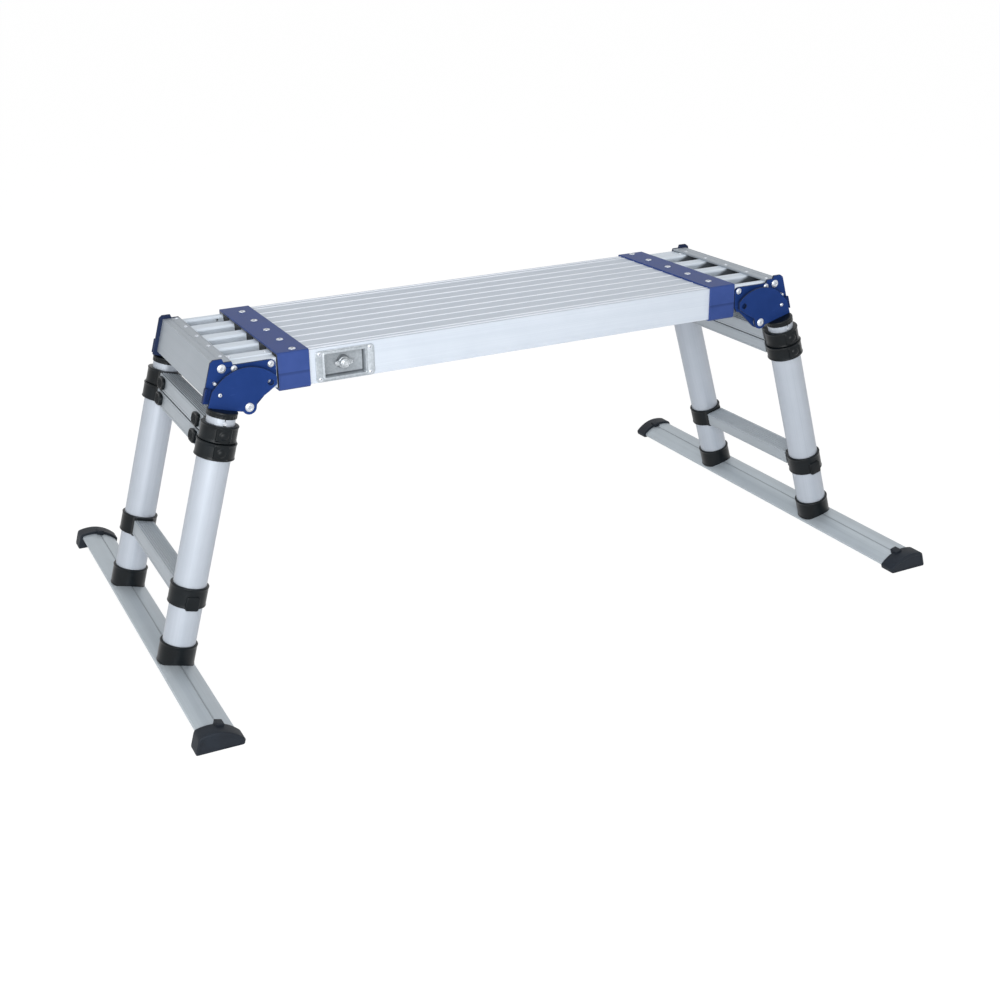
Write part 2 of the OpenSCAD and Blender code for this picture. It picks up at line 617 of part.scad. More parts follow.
// A collar clamped on a tube end, with a boss and a spigot for its rung and a bulge on the far side
module collar(tube_r, inner_r, s0) difference() {
    union() {
        translate([0, leg_y, s0]) cylinder(r = tube_r + ring_wall, h = ring_h);
        translate([-rung_d / 2, boss_y, s0]) cube([rung_d, leg_y - boss_y, ring_h]);
        spigot(s0 + ring_h / 2);
        translate([0, leg_y + tube_r + ring_wall - 3, s0 + ring_h / 2 - 1]) rotate([-90, 0, 0])
            rotate_extrude() polygon(concat([[0, 0]], [for (a = [0 : 15 : 90]) [9 * cos(a), 6.5 * sin(a)]]));
    }
    translate([0, leg_y, s0 - eps]) cylinder(r = tube_r, h = ring_h - lip_h + eps);
    translate([0, leg_y, s0 - eps]) cylinder(r = inner_r + tube_fit, h = ring_h + 2 * eps);
    rod_y(0, s0 + ring_h / 2, latch_d / 2 + pin_fit, boss_y - spigot_l - eps, leg_y);
}

// Part of a fitting that goes into the rung's end
module spigot(s) translate([-rung_d / 2 + rung_wall, boss_y - spigot_l, s - rung_h / 2 + rung_wall])
    cube([rung_d - 2 * rung_wall, spigot_l + eps, rung_h - 2 * rung_wall]);

module rung(s, slots) difference() {
    rung_body(s);
    translate([-rung_d / 2 + rung_wall, -boss_y - eps, s - rung_h / 2 + rung_wall])
        cube([rung_d - 2 * rung_wall, 2 * boss_y + 2 * eps, rung_h - 2 * rung_wall]);
    if (slots) front_and_back()
        translate([rung_d / 2 - rung_wall - eps, tab_y - neck_w / 2 - latch_out - touch, s - neck_h / 2 - eps])
            cube([rung_wall + 2 * eps, neck_w + latch_in + latch_out + 2 * touch, neck_h + 2 * eps]);
}

rib_n = 7;
rib_w = 1.6;
rib_h = 0.7;
// The rung's box with fine grip ribs along its tread
module rung_body(s) rotate([90, 0, 0]) translate([0, 0, -boss_y]) linear_extrude(2 * boss_y) union() {
    translate([-rung_d / 2, s - rung_h / 2]) square([rung_d, rung_h]);
    for (i = [0 : rib_n - 1])
        translate([(i - (rib_n - 1) / 2) * rung_d / (rib_n + 1) - rib_w / 2, s + rung_h / 2 - eps])
            square([rib_w, rib_h + eps]);
}

// A latch: pin into the collar, slider inside the rung and a thumb tab on its outer face
module latch(s, inner_r) {
    rod_y(0, s, latch_d / 2, tab_y, leg_y - inner_r - touch - 0.2);
    translate([-slider / 2, tab_y - 9, s - slider / 2]) cube([slider, slider + 3, slider]);
    translate([0, tab_y - neck_w / 2, s - neck_h / 2]) cube([rung_d / 2 + touch + 1, neck_w, neck_h]);
    translate([rung_d / 2 + touch, tab_y, s]) rotate([0, 90, 0]) linear_extrude(tab_t) polygon(concat(
        [[tab_h / 2, tab_l / 2 - 2], [tab_h / 2 - 2, tab_l / 2], [2 - tab_h / 2, tab_l / 2],
         [-tab_h / 2, tab_l / 2 - 2]],
        [for (a = [180 : 15 : 360]) [tab_h / 2 * cos(a), -4 + (tab_l / 2 - 4) * sin(a)]]));
}

module place_latch(e, back) at_end(e) leg_space() mirror([0, back == (e == "right") ? 0 : 1, 0]) children();

module mid_tubes(e) color("lightgray") at_end(e) leg_space() front_and_back() difference() {
    leg_tube(leg_y, mid_d, tube_foot, mid_ring_s + ring_h - lip_h);
    latch_hole(mid_rung_s, latch_d / 2 + pin_fit);
    for (s = [low_rung_s, low_rung_s - leg_travel]) latch_hole(s, latch_d / 2 + touch);
}

module mid_collars(e) color("darkslategray") at_end(e) leg_space() front_and_back()
    collar(mid_d / 2, top_d / 2, mid_ring_s);
module mid_rung(e) color("silver") at_end(e) leg_space() rung(mid_rung_s, true);

module low_tubes(e) color("lightgray") at_end(e) leg_space() front_and_back() difference() {
    leg_tube(leg_y, low_d, bar_edge_s + bar_arch, low_ring_s + ring_h - lip_h);
    latch_hole(low_rung_s, latch_d / 2 + pin_fit);
}

module low_collars(e) color("darkslategray") at_end(e) leg_space() front_and_back()
    collar(low_d / 2, mid_d / 2, low_ring_s);
module low_rung(e) color("silver") at_end(e) leg_space() rung(low_rung_s, true);

// Base rings hold the fixed rung, and foot sockets hold the tubes on the foot bar
module base_fittings(e) color("darkslategray") at_end(e) leg_space() {
    front_and_back() difference() {
        union() {
            translate([0, leg_y, base_ring_s]) cylinder(r = low_d / 2 + ring_wall - 1, h = base_ring_h);
            translate([-rung_d / 2, boss_y, base_ring_s]) cube([rung_d, leg_y - boss_y, base_ring_h]);
            spigot(base_rung_s);
            translate([-6, leg_y + low_d / 2, base_ring_s + 4]) cube([12, ring_wall + 2, base_ring_h - 14]);
        }
        translate([0, leg_y, base_ring_s - eps]) cylinder(r = low_d / 2, h = base_ring_h + 2 * eps);
    }
    front_and_back() difference() {
        translate([0, leg_y, bar_s + 2]) cylinder(r = low_d / 2 + 3, h = socket_s - bar_s - 2);
        translate([0, leg_y, bar_s]) cylinder(r = low_d / 2, h = socket_s);
        bar_solid(bar_l);
        translate([-2, leg_y, bar_edge_s]) cube([4, low_d, 8]);
    }
}
module base_rung(e) color("silver") at_end(e) leg_space() rung(base_rung_s, false);

// Foot bar section: flat below, arched above, with a groove along the middle
function bar_top(t) = bar_edge_s + bar_arch * (1 - pow(2 * t / bar_w, 2));
module bar_outline(grow) polygon(concat(
    [[-bar_w / 2 - grow, bar_s - grow], [bar_w / 2 + grow, bar_s - grow]],
    [for (i = [6 : -1 : -6]) let (t = i * bar_w / 12) [t * (1 + 2 * grow / bar_w), bar_top(t) + grow]]));
module bar_solid(l) rotate([90, 0, 0]) translate([0, 0, -l / 2]) linear_extrude(l) bar_outline(0);

// One of the two hollows beside the bar's middle web
module bar_hollow() rotate([90, 0, 0]) translate([0, 0, -bar_l / 2 - eps]) linear_extrude(bar_l + 2 * eps)
    polygon(concat([[bar_w * 0.36, bar_s + bar_wall], [bar_wall / 2, bar_s + bar_wall]],
        [for (i = [0 : 4]) let (t = bar_wall / 2 + i * (bar_w * 0.36 - bar_wall / 2) / 4)
            [t, bar_top(t) - bar_wall]]));

module foot_bar(e) color("gray") at_end(e) leg_space() difference() {
    bar_solid(bar_l);
    for (m = [0, 1]) mirror([m, 0, 0]) bar_hollow();
    translate([-1, -bar_l / 2 - eps, bar_edge_s + bar_arch - 0.8]) cube([2, bar_l + 2 * eps, 2]);
}

// Rubber end cap: closed over the bar's end, with a raised tongue, and cut flat at the floor
module foot_caps(e) color("darkslategray") at_end(e) front_and_back() difference() {
    leg_space() difference() {
        union() {
            intersection() {
                translate([0, bar_l / 2 + cap_l, 0]) rotate([90, 0, 0]) linear_extrude(cap_l + cap_grip)
                    cap_outline();
                translate([0, bar_l / 2 - cap_grip, -bar_w / 2]) linear_extrude(2 * bar_w) cap_plan();
            }
            translate([-cap_tongue_w / 2, bar_l / 2 - cap_grip - cap_tongue_l / 2, bar_edge_s + bar_arch])
                cube([cap_tongue_w, cap_tongue_l, cap_tongue_h]);
        }
        bar_solid(bar_l);
    }
    translate([foot_x - 2 * bar_w, 0, -2 * bar_w]) cube([4 * bar_w, bar_l, 2 * bar_w]);
}

// The cap's outline follows the bar's arch, one wall further out
cap_half = bar_w / 2 + cap_wall;
module cap_outline() polygon(concat([[-cap_half, -bar_w / 2], [cap_half, -bar_w / 2]],
    [for (i = [8 : -1 : -8]) let (t = i * cap_half / 8) [t, bar_top(t) + cap_wall]]));

cap_r = 3;
module cap_plan() {
    l = cap_l + cap_grip;
    polygon(concat([[-cap_half, 0], [cap_half, 0]], arc([cap_half - cap_r, l - cap_r], cap_r, 0, 90, 4),
                   arc([cap_r - cap_half, l - cap_r], cap_r, 90, 180, 4)));
}

deck_planks();
edge_planks();
deck_collars();
deck_rivets();
guide_blocks();
lock_housings();
for (e = ["left", "right"]) {
    lock_pin(e);
    lock_wing(e);
    slats(e);
    side_rail(e);
    end_frame(e);
    side_plates(e);
    end_rivets(e);
    pivot_pins(e);
    leg_plates(e);
    leg_caps(e);
    top_tubes(e);
    mid_tubes(e);
    mid_collars(e);
    mid_rung(e);
    low_tubes(e);
    low_collars(e);
    low_rung(e);
    base_fittings(e);
    base_rung(e);
    foot_bar(e);
    foot_caps(e);
    fold_lever(e, false);
    fold_lever(e, true);
    color("dimgray") place_latch(e, false) latch(mid_rung_s, top_d / 2);
    color("dimgray") place_latch(e, true) latch(mid_rung_s, top_d / 2);
    color("dimgray") place_latch(e, false) latch(low_rung_s, mid_d / 2);
    color("dimgray") place_latch(e, true) latch(low_rung_s, mid_d / 2);
}
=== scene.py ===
import bpy
import math
import numpy as np
from mathutils import Matrix, Vector


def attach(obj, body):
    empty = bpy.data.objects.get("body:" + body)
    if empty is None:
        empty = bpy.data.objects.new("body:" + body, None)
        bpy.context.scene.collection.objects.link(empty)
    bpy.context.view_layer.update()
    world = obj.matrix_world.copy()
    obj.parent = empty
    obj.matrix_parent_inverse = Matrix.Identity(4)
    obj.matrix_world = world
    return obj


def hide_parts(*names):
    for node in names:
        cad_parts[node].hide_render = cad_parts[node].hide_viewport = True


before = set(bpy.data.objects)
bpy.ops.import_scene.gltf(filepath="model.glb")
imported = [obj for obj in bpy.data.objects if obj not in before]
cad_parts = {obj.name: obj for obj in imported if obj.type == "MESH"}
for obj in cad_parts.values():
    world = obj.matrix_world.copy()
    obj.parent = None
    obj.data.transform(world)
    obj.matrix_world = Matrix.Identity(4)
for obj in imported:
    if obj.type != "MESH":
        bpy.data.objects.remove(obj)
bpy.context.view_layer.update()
print("frame loaded:", len(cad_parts), "nodes")

mm = 0.001
ends = {"right": 1, "left": -1}     # the left end is the right one turned half round about Z
sides = {"front": -1, "back": 1}

def linked(name, data):
    # a new object in the scene
    thing = bpy.data.objects.new(name, data)
    bpy.context.collection.objects.link(thing)
    return thing

# camera
camera = {
    "place": (-1.04269, -2.1089, 1.08576),
    "yaw": 24.81, "pitch": 21.29, "roll": -1.53,     # degrees, from looking along +Y
    "focal": 1414.76, "centre": (449.3, 468.78),     # pixels of a square picture
    "picture": 1000, "sensor": 36, "clip": (0.05, 200),
}

def placeCamera(c):
    yaw, pitch, roll = (math.radians(c[k]) for k in ("yaw", "pitch", "roll"))
    ahead = Vector((math.sin(yaw) * math.cos(pitch), math.cos(yaw) * math.cos(pitch), -math.sin(pitch)))
    right = Vector((math.cos(yaw), -math.sin(yaw), 0))
    up = right.cross(ahead)
    across = math.cos(roll) * right + math.sin(roll) * up
    upward = math.cos(roll) * up - math.sin(roll) * right
    data = bpy.data.cameras.new("camera")
    data.sensor_width = c["sensor"]
    data.lens = c["focal"] / c["picture"] * c["sensor"]
    data.shift_x = 0.5 - c["centre"][0] / c["picture"]
    data.shift_y = c["centre"][1] / c["picture"] - 0.5
    data.clip_start, data.clip_end = c["clip"]
    thing = linked("camera", data)
    turn = Matrix((across, upward, -ahead)).transposed().to_4x4()
    thing.matrix_world = Matrix.Translation(c["place"]) @ turn
    bpy.context.scene.camera = thing

placeCamera(camera)
bpy.context.scene.view_settings.view_transform = "Standard"
print("camera placed")

# shader building
def srgb(red, green, blue):
    # linear colour of an 8 bit one
    parts = [v / 255 for v in (red, green, blue)]
    return tuple(v / 12.92 if v <= 0.04045 else ((v + 0.055) / 1.055) ** 2.4 for v in parts) + (1.0,)

def tinted(colour, times=1, plus=0):
    return srgb(*(min(255, v * times + plus) for v in colour))

class Wire:
    # an output socket that arithmetic works on, by adding Math nodes
    def __init__(self, finish, socket):
        self.finish, self.socket = finish, socket

    def math(self, operation, *values):
        return self.finish.add("Math", {"operation": operation}, dict(enumerate(values)))

    def __add__(self, other):
        return self.math("ADD", self, other)

    __radd__ = __add__

    def __sub__(self, other):
        return self.math("SUBTRACT", self, other)

    def __mul__(self, other):
        return self.math("MULTIPLY", self, other)

    def __rsub__(self, other):
        return self.math("SUBTRACT", other, self)

    def __abs__(self):
        return self.math("ABSOLUTE", self)

class Finish:
    # the nodes of a material or world: "add" makes any node, the rest are patterns that finishes share
    def __init__(self, owner):
        owner.use_nodes = True
        self.owner, self.tree = owner, owner.node_tree
        self.tree.nodes.clear()

    def add(self, kind, settings=None, inputs=None, output=0):
        node = self.tree.nodes.new("ShaderNode" + kind)
        for key, value in (settings or {}).items():
            setattr(node, key, value)
        for key, value in (inputs or {}).items():
            if isinstance(value, Wire):
                self.tree.links.new(value.socket, node.inputs[key])
            else:
                node.inputs[key].default_value = value
        return Wire(self, node.outputs[output])

    def coordinates(self, turn=0.0):
        # Object coordinates in metres, turned about Y so that Z runs up a splayed leg
        self.place = self.add("TexCoord", output="Object")
        if turn:
            inputs = {"Vector": self.place, "Rotation": (0, turn, 0)}
            self.place = self.add("Mapping", {"vector_type": "POINT"}, inputs)

    def axis(self, i):
        # how far along X, Y or Z
        return self.add("SeparateXYZ", {}, {0: self.place}, output=i)

    def facing(self, i):
        # how much the flat face looks along X, Y or Z
        return self.add("SeparateXYZ", {}, {0: self.add("NewGeometry", output="True Normal")}, output=i)

    def noise(self, scale, detail=2.0, rough=0.5):
        # fractal noise with its own scale along each axis, 0 to 1
        spot = self.add("VectorMath", {"operation": "MULTIPLY"}, {0: self.place, 1: scale})
        return self.add("TexNoise", {}, {"Vector": spot, "Scale": 1.0, "Detail": detail, "Roughness": rough})

    def ramp(self, value, low, high, outLow=0.0, outHigh=1.0):
        inputs = {"Value": value, "From Min": low, "From Max": high, "To Min": outLow, "To Max": outHigh}
        return self.add("MapRange", {"interpolation_type": "SMOOTHSTEP"}, inputs)

    def mix(self, amount, first, second):
        return self.add("Mix", {"data_type": "RGBA"}, {0: amount, 6: first, 7: second}, output=2)

    def edges(self, radius, samples=6):
        # the rounded normal of the sharp edges, and how far it leans from the flat one
        rounded = self.add("Bevel", {"samples": samples}, {"Radius": radius})
        flat = self.add("NewGeometry", output="True Normal")
        lean = self.add("VectorMath", {"operation": "DOT_PRODUCT"}, {0: rounded, 1: flat}, output="Value")
        return rounded, 1 - lean

    def bump(self, height, distance, strength, normal):
        inputs = {"Height": height, "Distance": distance, "Strength": strength, "Normal": normal}
        return self.add("Bump", {}, inputs)

    def surface(self, colour, roughness, metallic, normal, shine=0.5):
        inputs = {"Base Color": colour, "Roughness": roughness, "Metallic": metallic, "Normal": normal,
                  "Specular IOR Level": shine}
        return self.out(self.add("BsdfPrincipled", {}, inputs))

    def out(self, shader, kind="Material"):
        node = self.tree.nodes.new("ShaderNodeOutput" + kind)
        self.tree.links.new(shader.socket, node.inputs["Surface"])
        return self.owner

def newFinish(name, turn=0.0):
    f = Finish(bpy.data.materials.new(name))
    f.coordinates(turn)
    return f

# finishes
splay = math.radians(15.6)                            # how far the legs lean from upright
slatTop = 477.3                                       # mm

metals = {
    # colour and its darker streaks, roughness, metallic, the grain's axis, and what is special
    "deck": {"colour": (204, 212, 222), "dark": (194, 203, 214), "rough": 0.52, "metal": 0.15, "grain": "x",
             "cut": 0.4158},                          # the planks' cut ends, darkened as painted shade under the collar's lip
    # the tread's ridges, paler and glossier: partly wear, partly a painted highlight
    "crest": {"colour": (232, 236, 244), "dark": (218, 224, 233), "rough": 0.32, "metal": 0.35, "grain": "x"},
    "slat": {"colour": (216, 226, 236), "dark": (202, 212, 223), "rough": 0.42, "metal": 0.3, "grain": "x",
             "nook": (0.477, 2.0, 0.85)},             # where the painted shade starts, its spread with depth, the most
    "tube": {"colour": (179, 186, 196), "dark": (170, 178, 188), "rough": 0.40, "metal": 0.25, "grain": "z",
             "relief": 0.12},
    "rung": {"colour": (170, 178, 185), "dark": (159, 167, 174), "rough": 0.46, "metal": 0.35, "grain": "y",
             "valley": (0.6012, 0.00425)},            # place of the middle rib across the leg, and the pitch
    "bar": {"colour": (184, 193, 200), "dark": (172, 181, 188), "rough": 0.48, "metal": 0.35, "grain": "y",
            "groove": 0.6012},                        # place of the groove across the leg
    "endFrame": {"colour": (166, 174, 182), "dark": (156, 164, 172), "rough": 0.48, "metal": 0.30, "grain": "y",
                 "inside": 0.8},                      # how dark the painted shade on the faces towards the deck is
}

def extruded(name, look, turn=0.0):
    # anodised aluminium: fine die lines along the grain, faint bands, cloudy patches and small scuffs
    f = newFinish(name, turn)
    along, across = 3.0, 900.0
    fine = tuple(along if axis == look["grain"] else across for axis in "xyz")
    broad = tuple(v * (0.12 if v == across else 0.3) for v in fine)
    lines = f.noise(fine, 3, 0.6)
    bands = f.noise(broad, 2, 0.5)
    clouds = f.noise((14, 14, 14), 3, 0.6)
    scuffs = f.ramp(f.noise(tuple(v * 0.35 for v in fine), 5, 0.75), 0.66, 0.74)
    rounded, edge = f.edges(0.0007)
    worn = f.ramp(edge, 0.02, 0.25)
    shade = lines * 0.5 + bands * 0.2 + clouds * 0.3
    colour = f.mix(f.ramp(shade, 0.34, 0.66), srgb(*look["dark"]), srgb(*look["colour"]))
    colour = f.mix(worn * 0.5, colour, srgb(235, 239, 244))
    if "valley" in look:
        # painted shade between the grip ribs of a tread: the low half of a cosine across the rung, on its top
        middle, pitch = look["valley"]
        wave = f.add("Math", {"operation": "COSINE"}, {0: (abs(f.axis(0)) - middle) * (2 * math.pi / pitch)})
        paintedShade = f.ramp(wave, -0.9, 0.1, 1.0, 0.0) * f.ramp(f.facing(2), 0.5, 0.8) * f.ramp(f.axis(2), 0, 0.1)
        colour = f.mix(paintedShade * 0.66, colour, srgb(70, 75, 80))
    if "groove" in look:
        # painted shade in the groove along the middle of the bar
        gap = abs(abs(f.axis(0)) - look["groove"])
        colour = f.mix(f.ramp(gap, 0.0006, 0.0021, 0.34, 0.0), colour, srgb(84, 90, 96))
    if "cut" in look:
        # painted shade on the planks' cut ends, as under the collar's lip
        cut = f.ramp(abs(f.axis(0)), look["cut"] - 0.0002, look["cut"], 0.0, 0.85)
        colour = f.mix(cut, colour, srgb(26, 32, 52))
    if "inside" in look:
        # painted shade on the faces that look at the deck, under the flange
        under = f.ramp(f.axis(2), slatTop * mm - 0.0005, slatTop * mm - 0.0001, 1.0, 0.0)
        inward = f.ramp(f.facing(0) * f.axis(0), -0.3, -0.15, look["inside"], 0.0)
        colour = f.mix(inward * under, colour, srgb(38, 41, 44))
    if "nook" in look:
        # painted shade in the slots by the end frame, on one side of each slat: more of it lower down and closer
        # in
        start, drop, most = look["nook"]
        close = abs(f.axis(0)) + (slatTop * mm - f.axis(2)) * drop
        aside = f.ramp(f.facing(1) * f.axis(0), -0.3, -0.15, most, 0.0)
        colour = f.mix(f.ramp(close, start, start + 0.018) * aside, colour, srgb(38, 42, 46))
    rough = look["rough"] + (shade - 0.5) * 0.16 + scuffs * 0.12 - worn * 0.1
    height = lines * 0.7 + scuffs * 0.3
    return f.surface(colour, rough, look["metal"], f.bump(height, 0.00008, look.get("relief", 0.3), rounded))

def painted(name, colour, dark, rough, crease=None, cut=None):
    # powder coat: orange peel, slightly uneven colour, pale where an edge is rubbed, a few fine scratches
    f = newFinish(name)
    peel = f.noise((900, 900, 900), 2, 0.5)
    clouds = f.noise((16, 16, 16), 3, 0.6)
    scratches = f.ramp(f.noise((70, 900, 500), 2, 0.4), 0.73, 0.76)
    rounded, edge = f.edges(0.0009)
    worn = f.ramp(edge + (clouds - 0.5) * 0.2, 0.06, 0.4)
    base = f.mix(f.ramp(clouds, 0.3, 0.7), srgb(*dark), srgb(*colour))
    base = f.mix(worn * 0.55, base, tinted(colour, plus=62))
    base = f.mix(scratches * 0.25, base, tinted(colour, plus=40))
    roughness = rough + (clouds - 0.5) * 0.12 + scratches * 0.2
    if crease:
        # painted shade of the press's fold round the sheet: a soft dark band, and a slightly deeper painted
        # shade below it
        height = f.axis(2)
        below = f.ramp(height, crease - 0.0012, crease, 1.0, 0.0)
        line = below * f.ramp(height, crease - 0.0065, crease - 0.0025)
        base = f.mix(below * 0.07 + line * 0.32, base, tinted(dark, 0.6))
    if cut:
        # painted shade on the sheet's cut edges and inner face: all that isn't outward along Y
        base = f.mix(f.ramp(f.facing(1) * f.axis(1), 0.07, 0.13, cut, 0.0), base, srgb(40, 46, 58))
    return f.surface(base, roughness, 0.0, f.bump(peel, 0.00006, 0.5, rounded), 0.05)

def moulded(name, colour, light, rough, shine, grain=0.00010):
    # moulded nylon: fine pitted grain, paler rubbed corners, a thin film of dust in the pits
    f = newFinish(name)
    pits = f.noise((1400, 1400, 1400), 3, 0.6)
    patches = f.noise((30, 30, 30), 4, 0.6)
    rounded, edge = f.edges(0.0006, 4)
    rubbed = f.ramp(edge, 0.03, 0.3)
    base = f.mix(f.ramp(patches, 0.35, 0.7), srgb(*colour), srgb(*light))
    base = f.mix(rubbed * 0.35, base, tinted(light, plus=26))
    base = f.mix(f.ramp(pits, 0.55, 0.8) * 0.25, base, tinted(light, plus=20))
    roughness = rough + (patches - 0.5) * 0.2 - rubbed * 0.1
    return f.surface(base, roughness, 0.0, f.bump(pits, grain, 0.6, rounded), shine)

def steel(name, colour, dark, rough, metal, depth=None):
    # plated steel: soft mottling and faint turning marks, brighter on its edges, dark where it is marked
    f = newFinish(name)
    mottle = f.noise((260, 260, 260), 4, 0.65)
    marks = f.noise((1600, 500, 1600), 2, 0.5)
    rounded, edge = f.edges(0.0005, 4)
    base = f.mix(f.ramp(mottle, 0.3, 0.7), srgb(*dark), srgb(*colour))
    base = f.mix(f.ramp(edge, 0.03, 0.3) * 0.5, base, srgb(240, 243, 246))
    sunk = f.add("Attribute", {"attribute_name": "tone"}, output=2)
    base = f.mix(sunk * 0.85, base, tinted(dark, 0.42))
    roughness = rough + (mottle - 0.5) * 0.25 + sunk * 0.3
    if depth:
        # painted shade towards the foot of the recess's walls, less so on its floor
        away = abs(f.axis(1))
        paintedShade = f.ramp(away, depth[1], depth[2], 0.9, 0.0) * f.ramp(away, depth[0], depth[1], 0.35, 1.0)
        base = f.mix(paintedShade, base, tinted(dark, 0.55))
    return f.surface(base, roughness, metal, f.bump(marks, 0.00005, 0.4, rounded))

finishes = {
    "collar": painted("collar_blue", (59, 79, 138), (53, 73, 130), 0.38, crease=0.4515),
    "plate": painted("plate_blue", (32, 57, 115), (27, 52, 107), 0.4, cut=0.75),
    "lever": painted("lever_blue", (24, 44, 96), (20, 39, 88), 0.42, cut=0.4),
    "nylon": moulded("black_nylon", (9, 14, 17), (15, 21, 25), 0.32, 0.2),
    "rubber": moulded("black_rubber", (14, 21, 30), (22, 30, 40), 0.6, 0.28, 0.00016),
    "guide": moulded("guide_nylon", (10, 13, 16), (17, 21, 25), 0.5, 0.2),
    "rivet": steel("rivet_steel", (214, 219, 227), (190, 196, 204), 0.3, 0.55),
    "lockPlate": steel("lock_plate_steel", (186, 193, 199), (162, 170, 177), 0.4, 0.4,
                       (0.1352, 0.1372, 0.1478)),      # the floor and the wall's foot and top, along Y
    "knob": steel("knob_steel", (196, 201, 205), (168, 174, 179), 0.3, 0.6),
}
for key, name in (("deck", "deck"), ("crest", "worn_ridge"), ("slat", "slat"), ("endFrame", "end_frame")):
    finishes[key] = extruded(name + "_aluminium", metals[key])
for key, name in (("rung", "rung"), ("bar", "foot_bar"), ("tube", "tube")):
    for end in ends:
        finishes[key + end.capitalize()] = extruded(f"{name}_aluminium_{end}", metals[key], ends[end] * splay)
print("finishes:", len(finishes))

finishNodes = {
    # the nodes' names without their end
    "deck": "deck_planks edge_planks", "collar": "deck_collars", "slat": "slats side_rail",
    "rivet": "deck_rivets end_rivets pivot_pins", "guide": "guide_blocks", "lockPlate": "lock_housings",
    "knob": "lock_pin lock_wing", "endFrame": "end_frame", "plate": "side_plates leg_plates",
    "lever": "fold_lever_front fold_lever_back", "tube": "top_tubes mid_tubes low_tubes", "bar": "foot_bar",
    "rung": "mid_rung low_rung base_rung", "rubber": "foot_caps",
    "nylon": "leg_caps mid_collars low_collars base_fittings "
             "mid_latch_front mid_latch_back low_latch_front low_latch_back",
}
nodeFinish = {node: key for key, nodes in finishNodes.items() for node in nodes.split()}

for name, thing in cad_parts.items():
    stem, _, end = name.rpartition("_")
    if end not in ends:
        stem, end = name, "right"
    key = nodeFinish[stem]
    if key in ("tube", "rung", "bar"):
        key += end.capitalize()
    thing.data.materials.clear()
    thing.data.materials.append(finishes[key])
print("finishes on", len(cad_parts), "nodes")

# surfaces
sizes = {
    # millimetres, the same values as the frame's
    "deckTop": 480, "halfWidth": 147, "bay": 31.8, "flangeTop": 480.3, "side": 144.3, "plateY": 148.3,
    "pivot": (468, 409.5), "footX": 624.2, "legY": 157, "topTube": 22, "midTube": 24, "lowTube": 26,
    "wall": 4.5, "capTop": 428, "tubeWall": 1.5, "midRing": 382, "lowRing": 355.4, "ring": 26,
    "baseRing": 117, "baseHeight": 33, "socketTop": 53, "rungDepth": 34, "rungHeight": 24, "boss": 124,
    "tab": 100, "barLength": 786, "barWidth": 60, "barBottom": 11.5, "barEdge": 15.5, "barArch": 8,
    "lock": (307.5, 451), "lockPlate": (97, 50), "lockWindow": (67, 37),
}
lean = (math.cos(splay), math.sin(splay))
pivotX, pivotZ = sizes["pivot"]
lockX, lockZ = sizes["lock"]
legY = sizes["legY"]

def legPoint(points, end, side="back"):
    # leg space to metres: t outward across the leg, y along the rungs, s up the leg
    t, y, s = np.moveaxis(points, -1, 0)
    x = sizes["footX"] + t * lean[0] - s * lean[1]
    return np.stack([ends[end] * x, sides[side] * y, t * lean[1] + s * lean[0]], axis=-1) * mm

def endPoint(points, end, side="back"):
    # right end to metres; the left end is turned half round, and a side can be mirrored
    return points * (ends[end], sides[side] * ends[end], 1) * mm

def sheetOf(points, loop=False, sunk=0, shade=1.0):
    # joins rows of a grid, whose columns close on themselves, into faces: the rows close as well,
    # or else each end row is shut by a fan about its middle; turned round if its volume is negative;
    # the last "sunk" rows and their fan are marked for a darker tone, by their shade
    rows, columns = points.shape[:2]
    index = np.arange(rows * columns).reshape(rows, columns)
    near = index if loop else index[:-1]
    far = np.roll(index, -1, axis=0) if loop else index[1:]
    quads = np.stack([near, np.roll(near, -1, axis=1), np.roll(far, -1, axis=1), far], axis=-1).reshape(-1, 4)
    places = points.reshape(-1, 3)
    fans = np.zeros((0, 3), int)
    if not loop:
        places = np.vstack([places, points[0].mean(axis=0), points[-1].mean(axis=0)])
        first, last = index[0], index[-1]
        shut = np.full(columns, rows * columns)
        fans = np.vstack([np.stack([np.roll(first, -1), first, shut], axis=-1),
                          np.stack([last, np.roll(last, -1), shut + 1], axis=-1)])
    corners = np.vstack([quads[:, [0, 1, 2]], quads[:, [0, 2, 3]], fans])
    a, b, c = (places[corners[:, i]] for i in range(3))
    if np.einsum("ij,ij->i", a, np.cross(b, c)).sum() < 0:
        quads, fans = quads[:, ::-1], fans[:, ::-1]
    tone = np.zeros(len(places))
    if sunk:
        tone[(rows - sunk) * columns:rows * columns] = shade
        tone[-1] = shade
    return places, quads, fans, tone

def makePiece(name, shells, body, slot, finish, *replaces):
    # one mesh of several closed shells, smooth but for its sharp edges
    places, faces, tones, count = [], [], [], 0
    for spots, quads, fans, tone in shells:
        places.append(spots)
        tones.append(tone)
        faces += (quads + count).tolist() + (fans + count).tolist()
        count += len(spots)
    mesh = bpy.data.meshes.new(name)
    mesh.from_pydata(np.vstack(places).tolist(), [], faces)
    mesh.polygons.foreach_set("use_smooth", np.ones(len(faces), bool))
    mesh.set_sharp_from_angle(angle=math.radians(38))
    mesh.attributes.new("tone", "FLOAT", "POINT").data.foreach_set("value", np.concatenate(tones))
    mesh.update()
    thing = linked(name, mesh)
    thing.data.materials.append(finishes[finish])
    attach(thing, body)
    if replaces:
        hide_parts(*replaces)

def rounding(radius, count=4):
    # a rounded edge's steps: radius (1 - sin a) and radius (1 - cos a) over a quarter turn
    turns = np.linspace(0, math.pi / 2, count)
    return radius * (1 - np.sin(turns)), radius * (1 - np.cos(turns))

def around(count):
    # angles of a full turn
    return np.linspace(0, 2 * math.pi, count, endpoint=False)

def legRound(reach, angle, height):
    # round a tube of the leg, from its outer side on
    return np.stack([reach * np.sin(angle), legY + reach * np.cos(angle), height + 0 * angle], axis=-1)

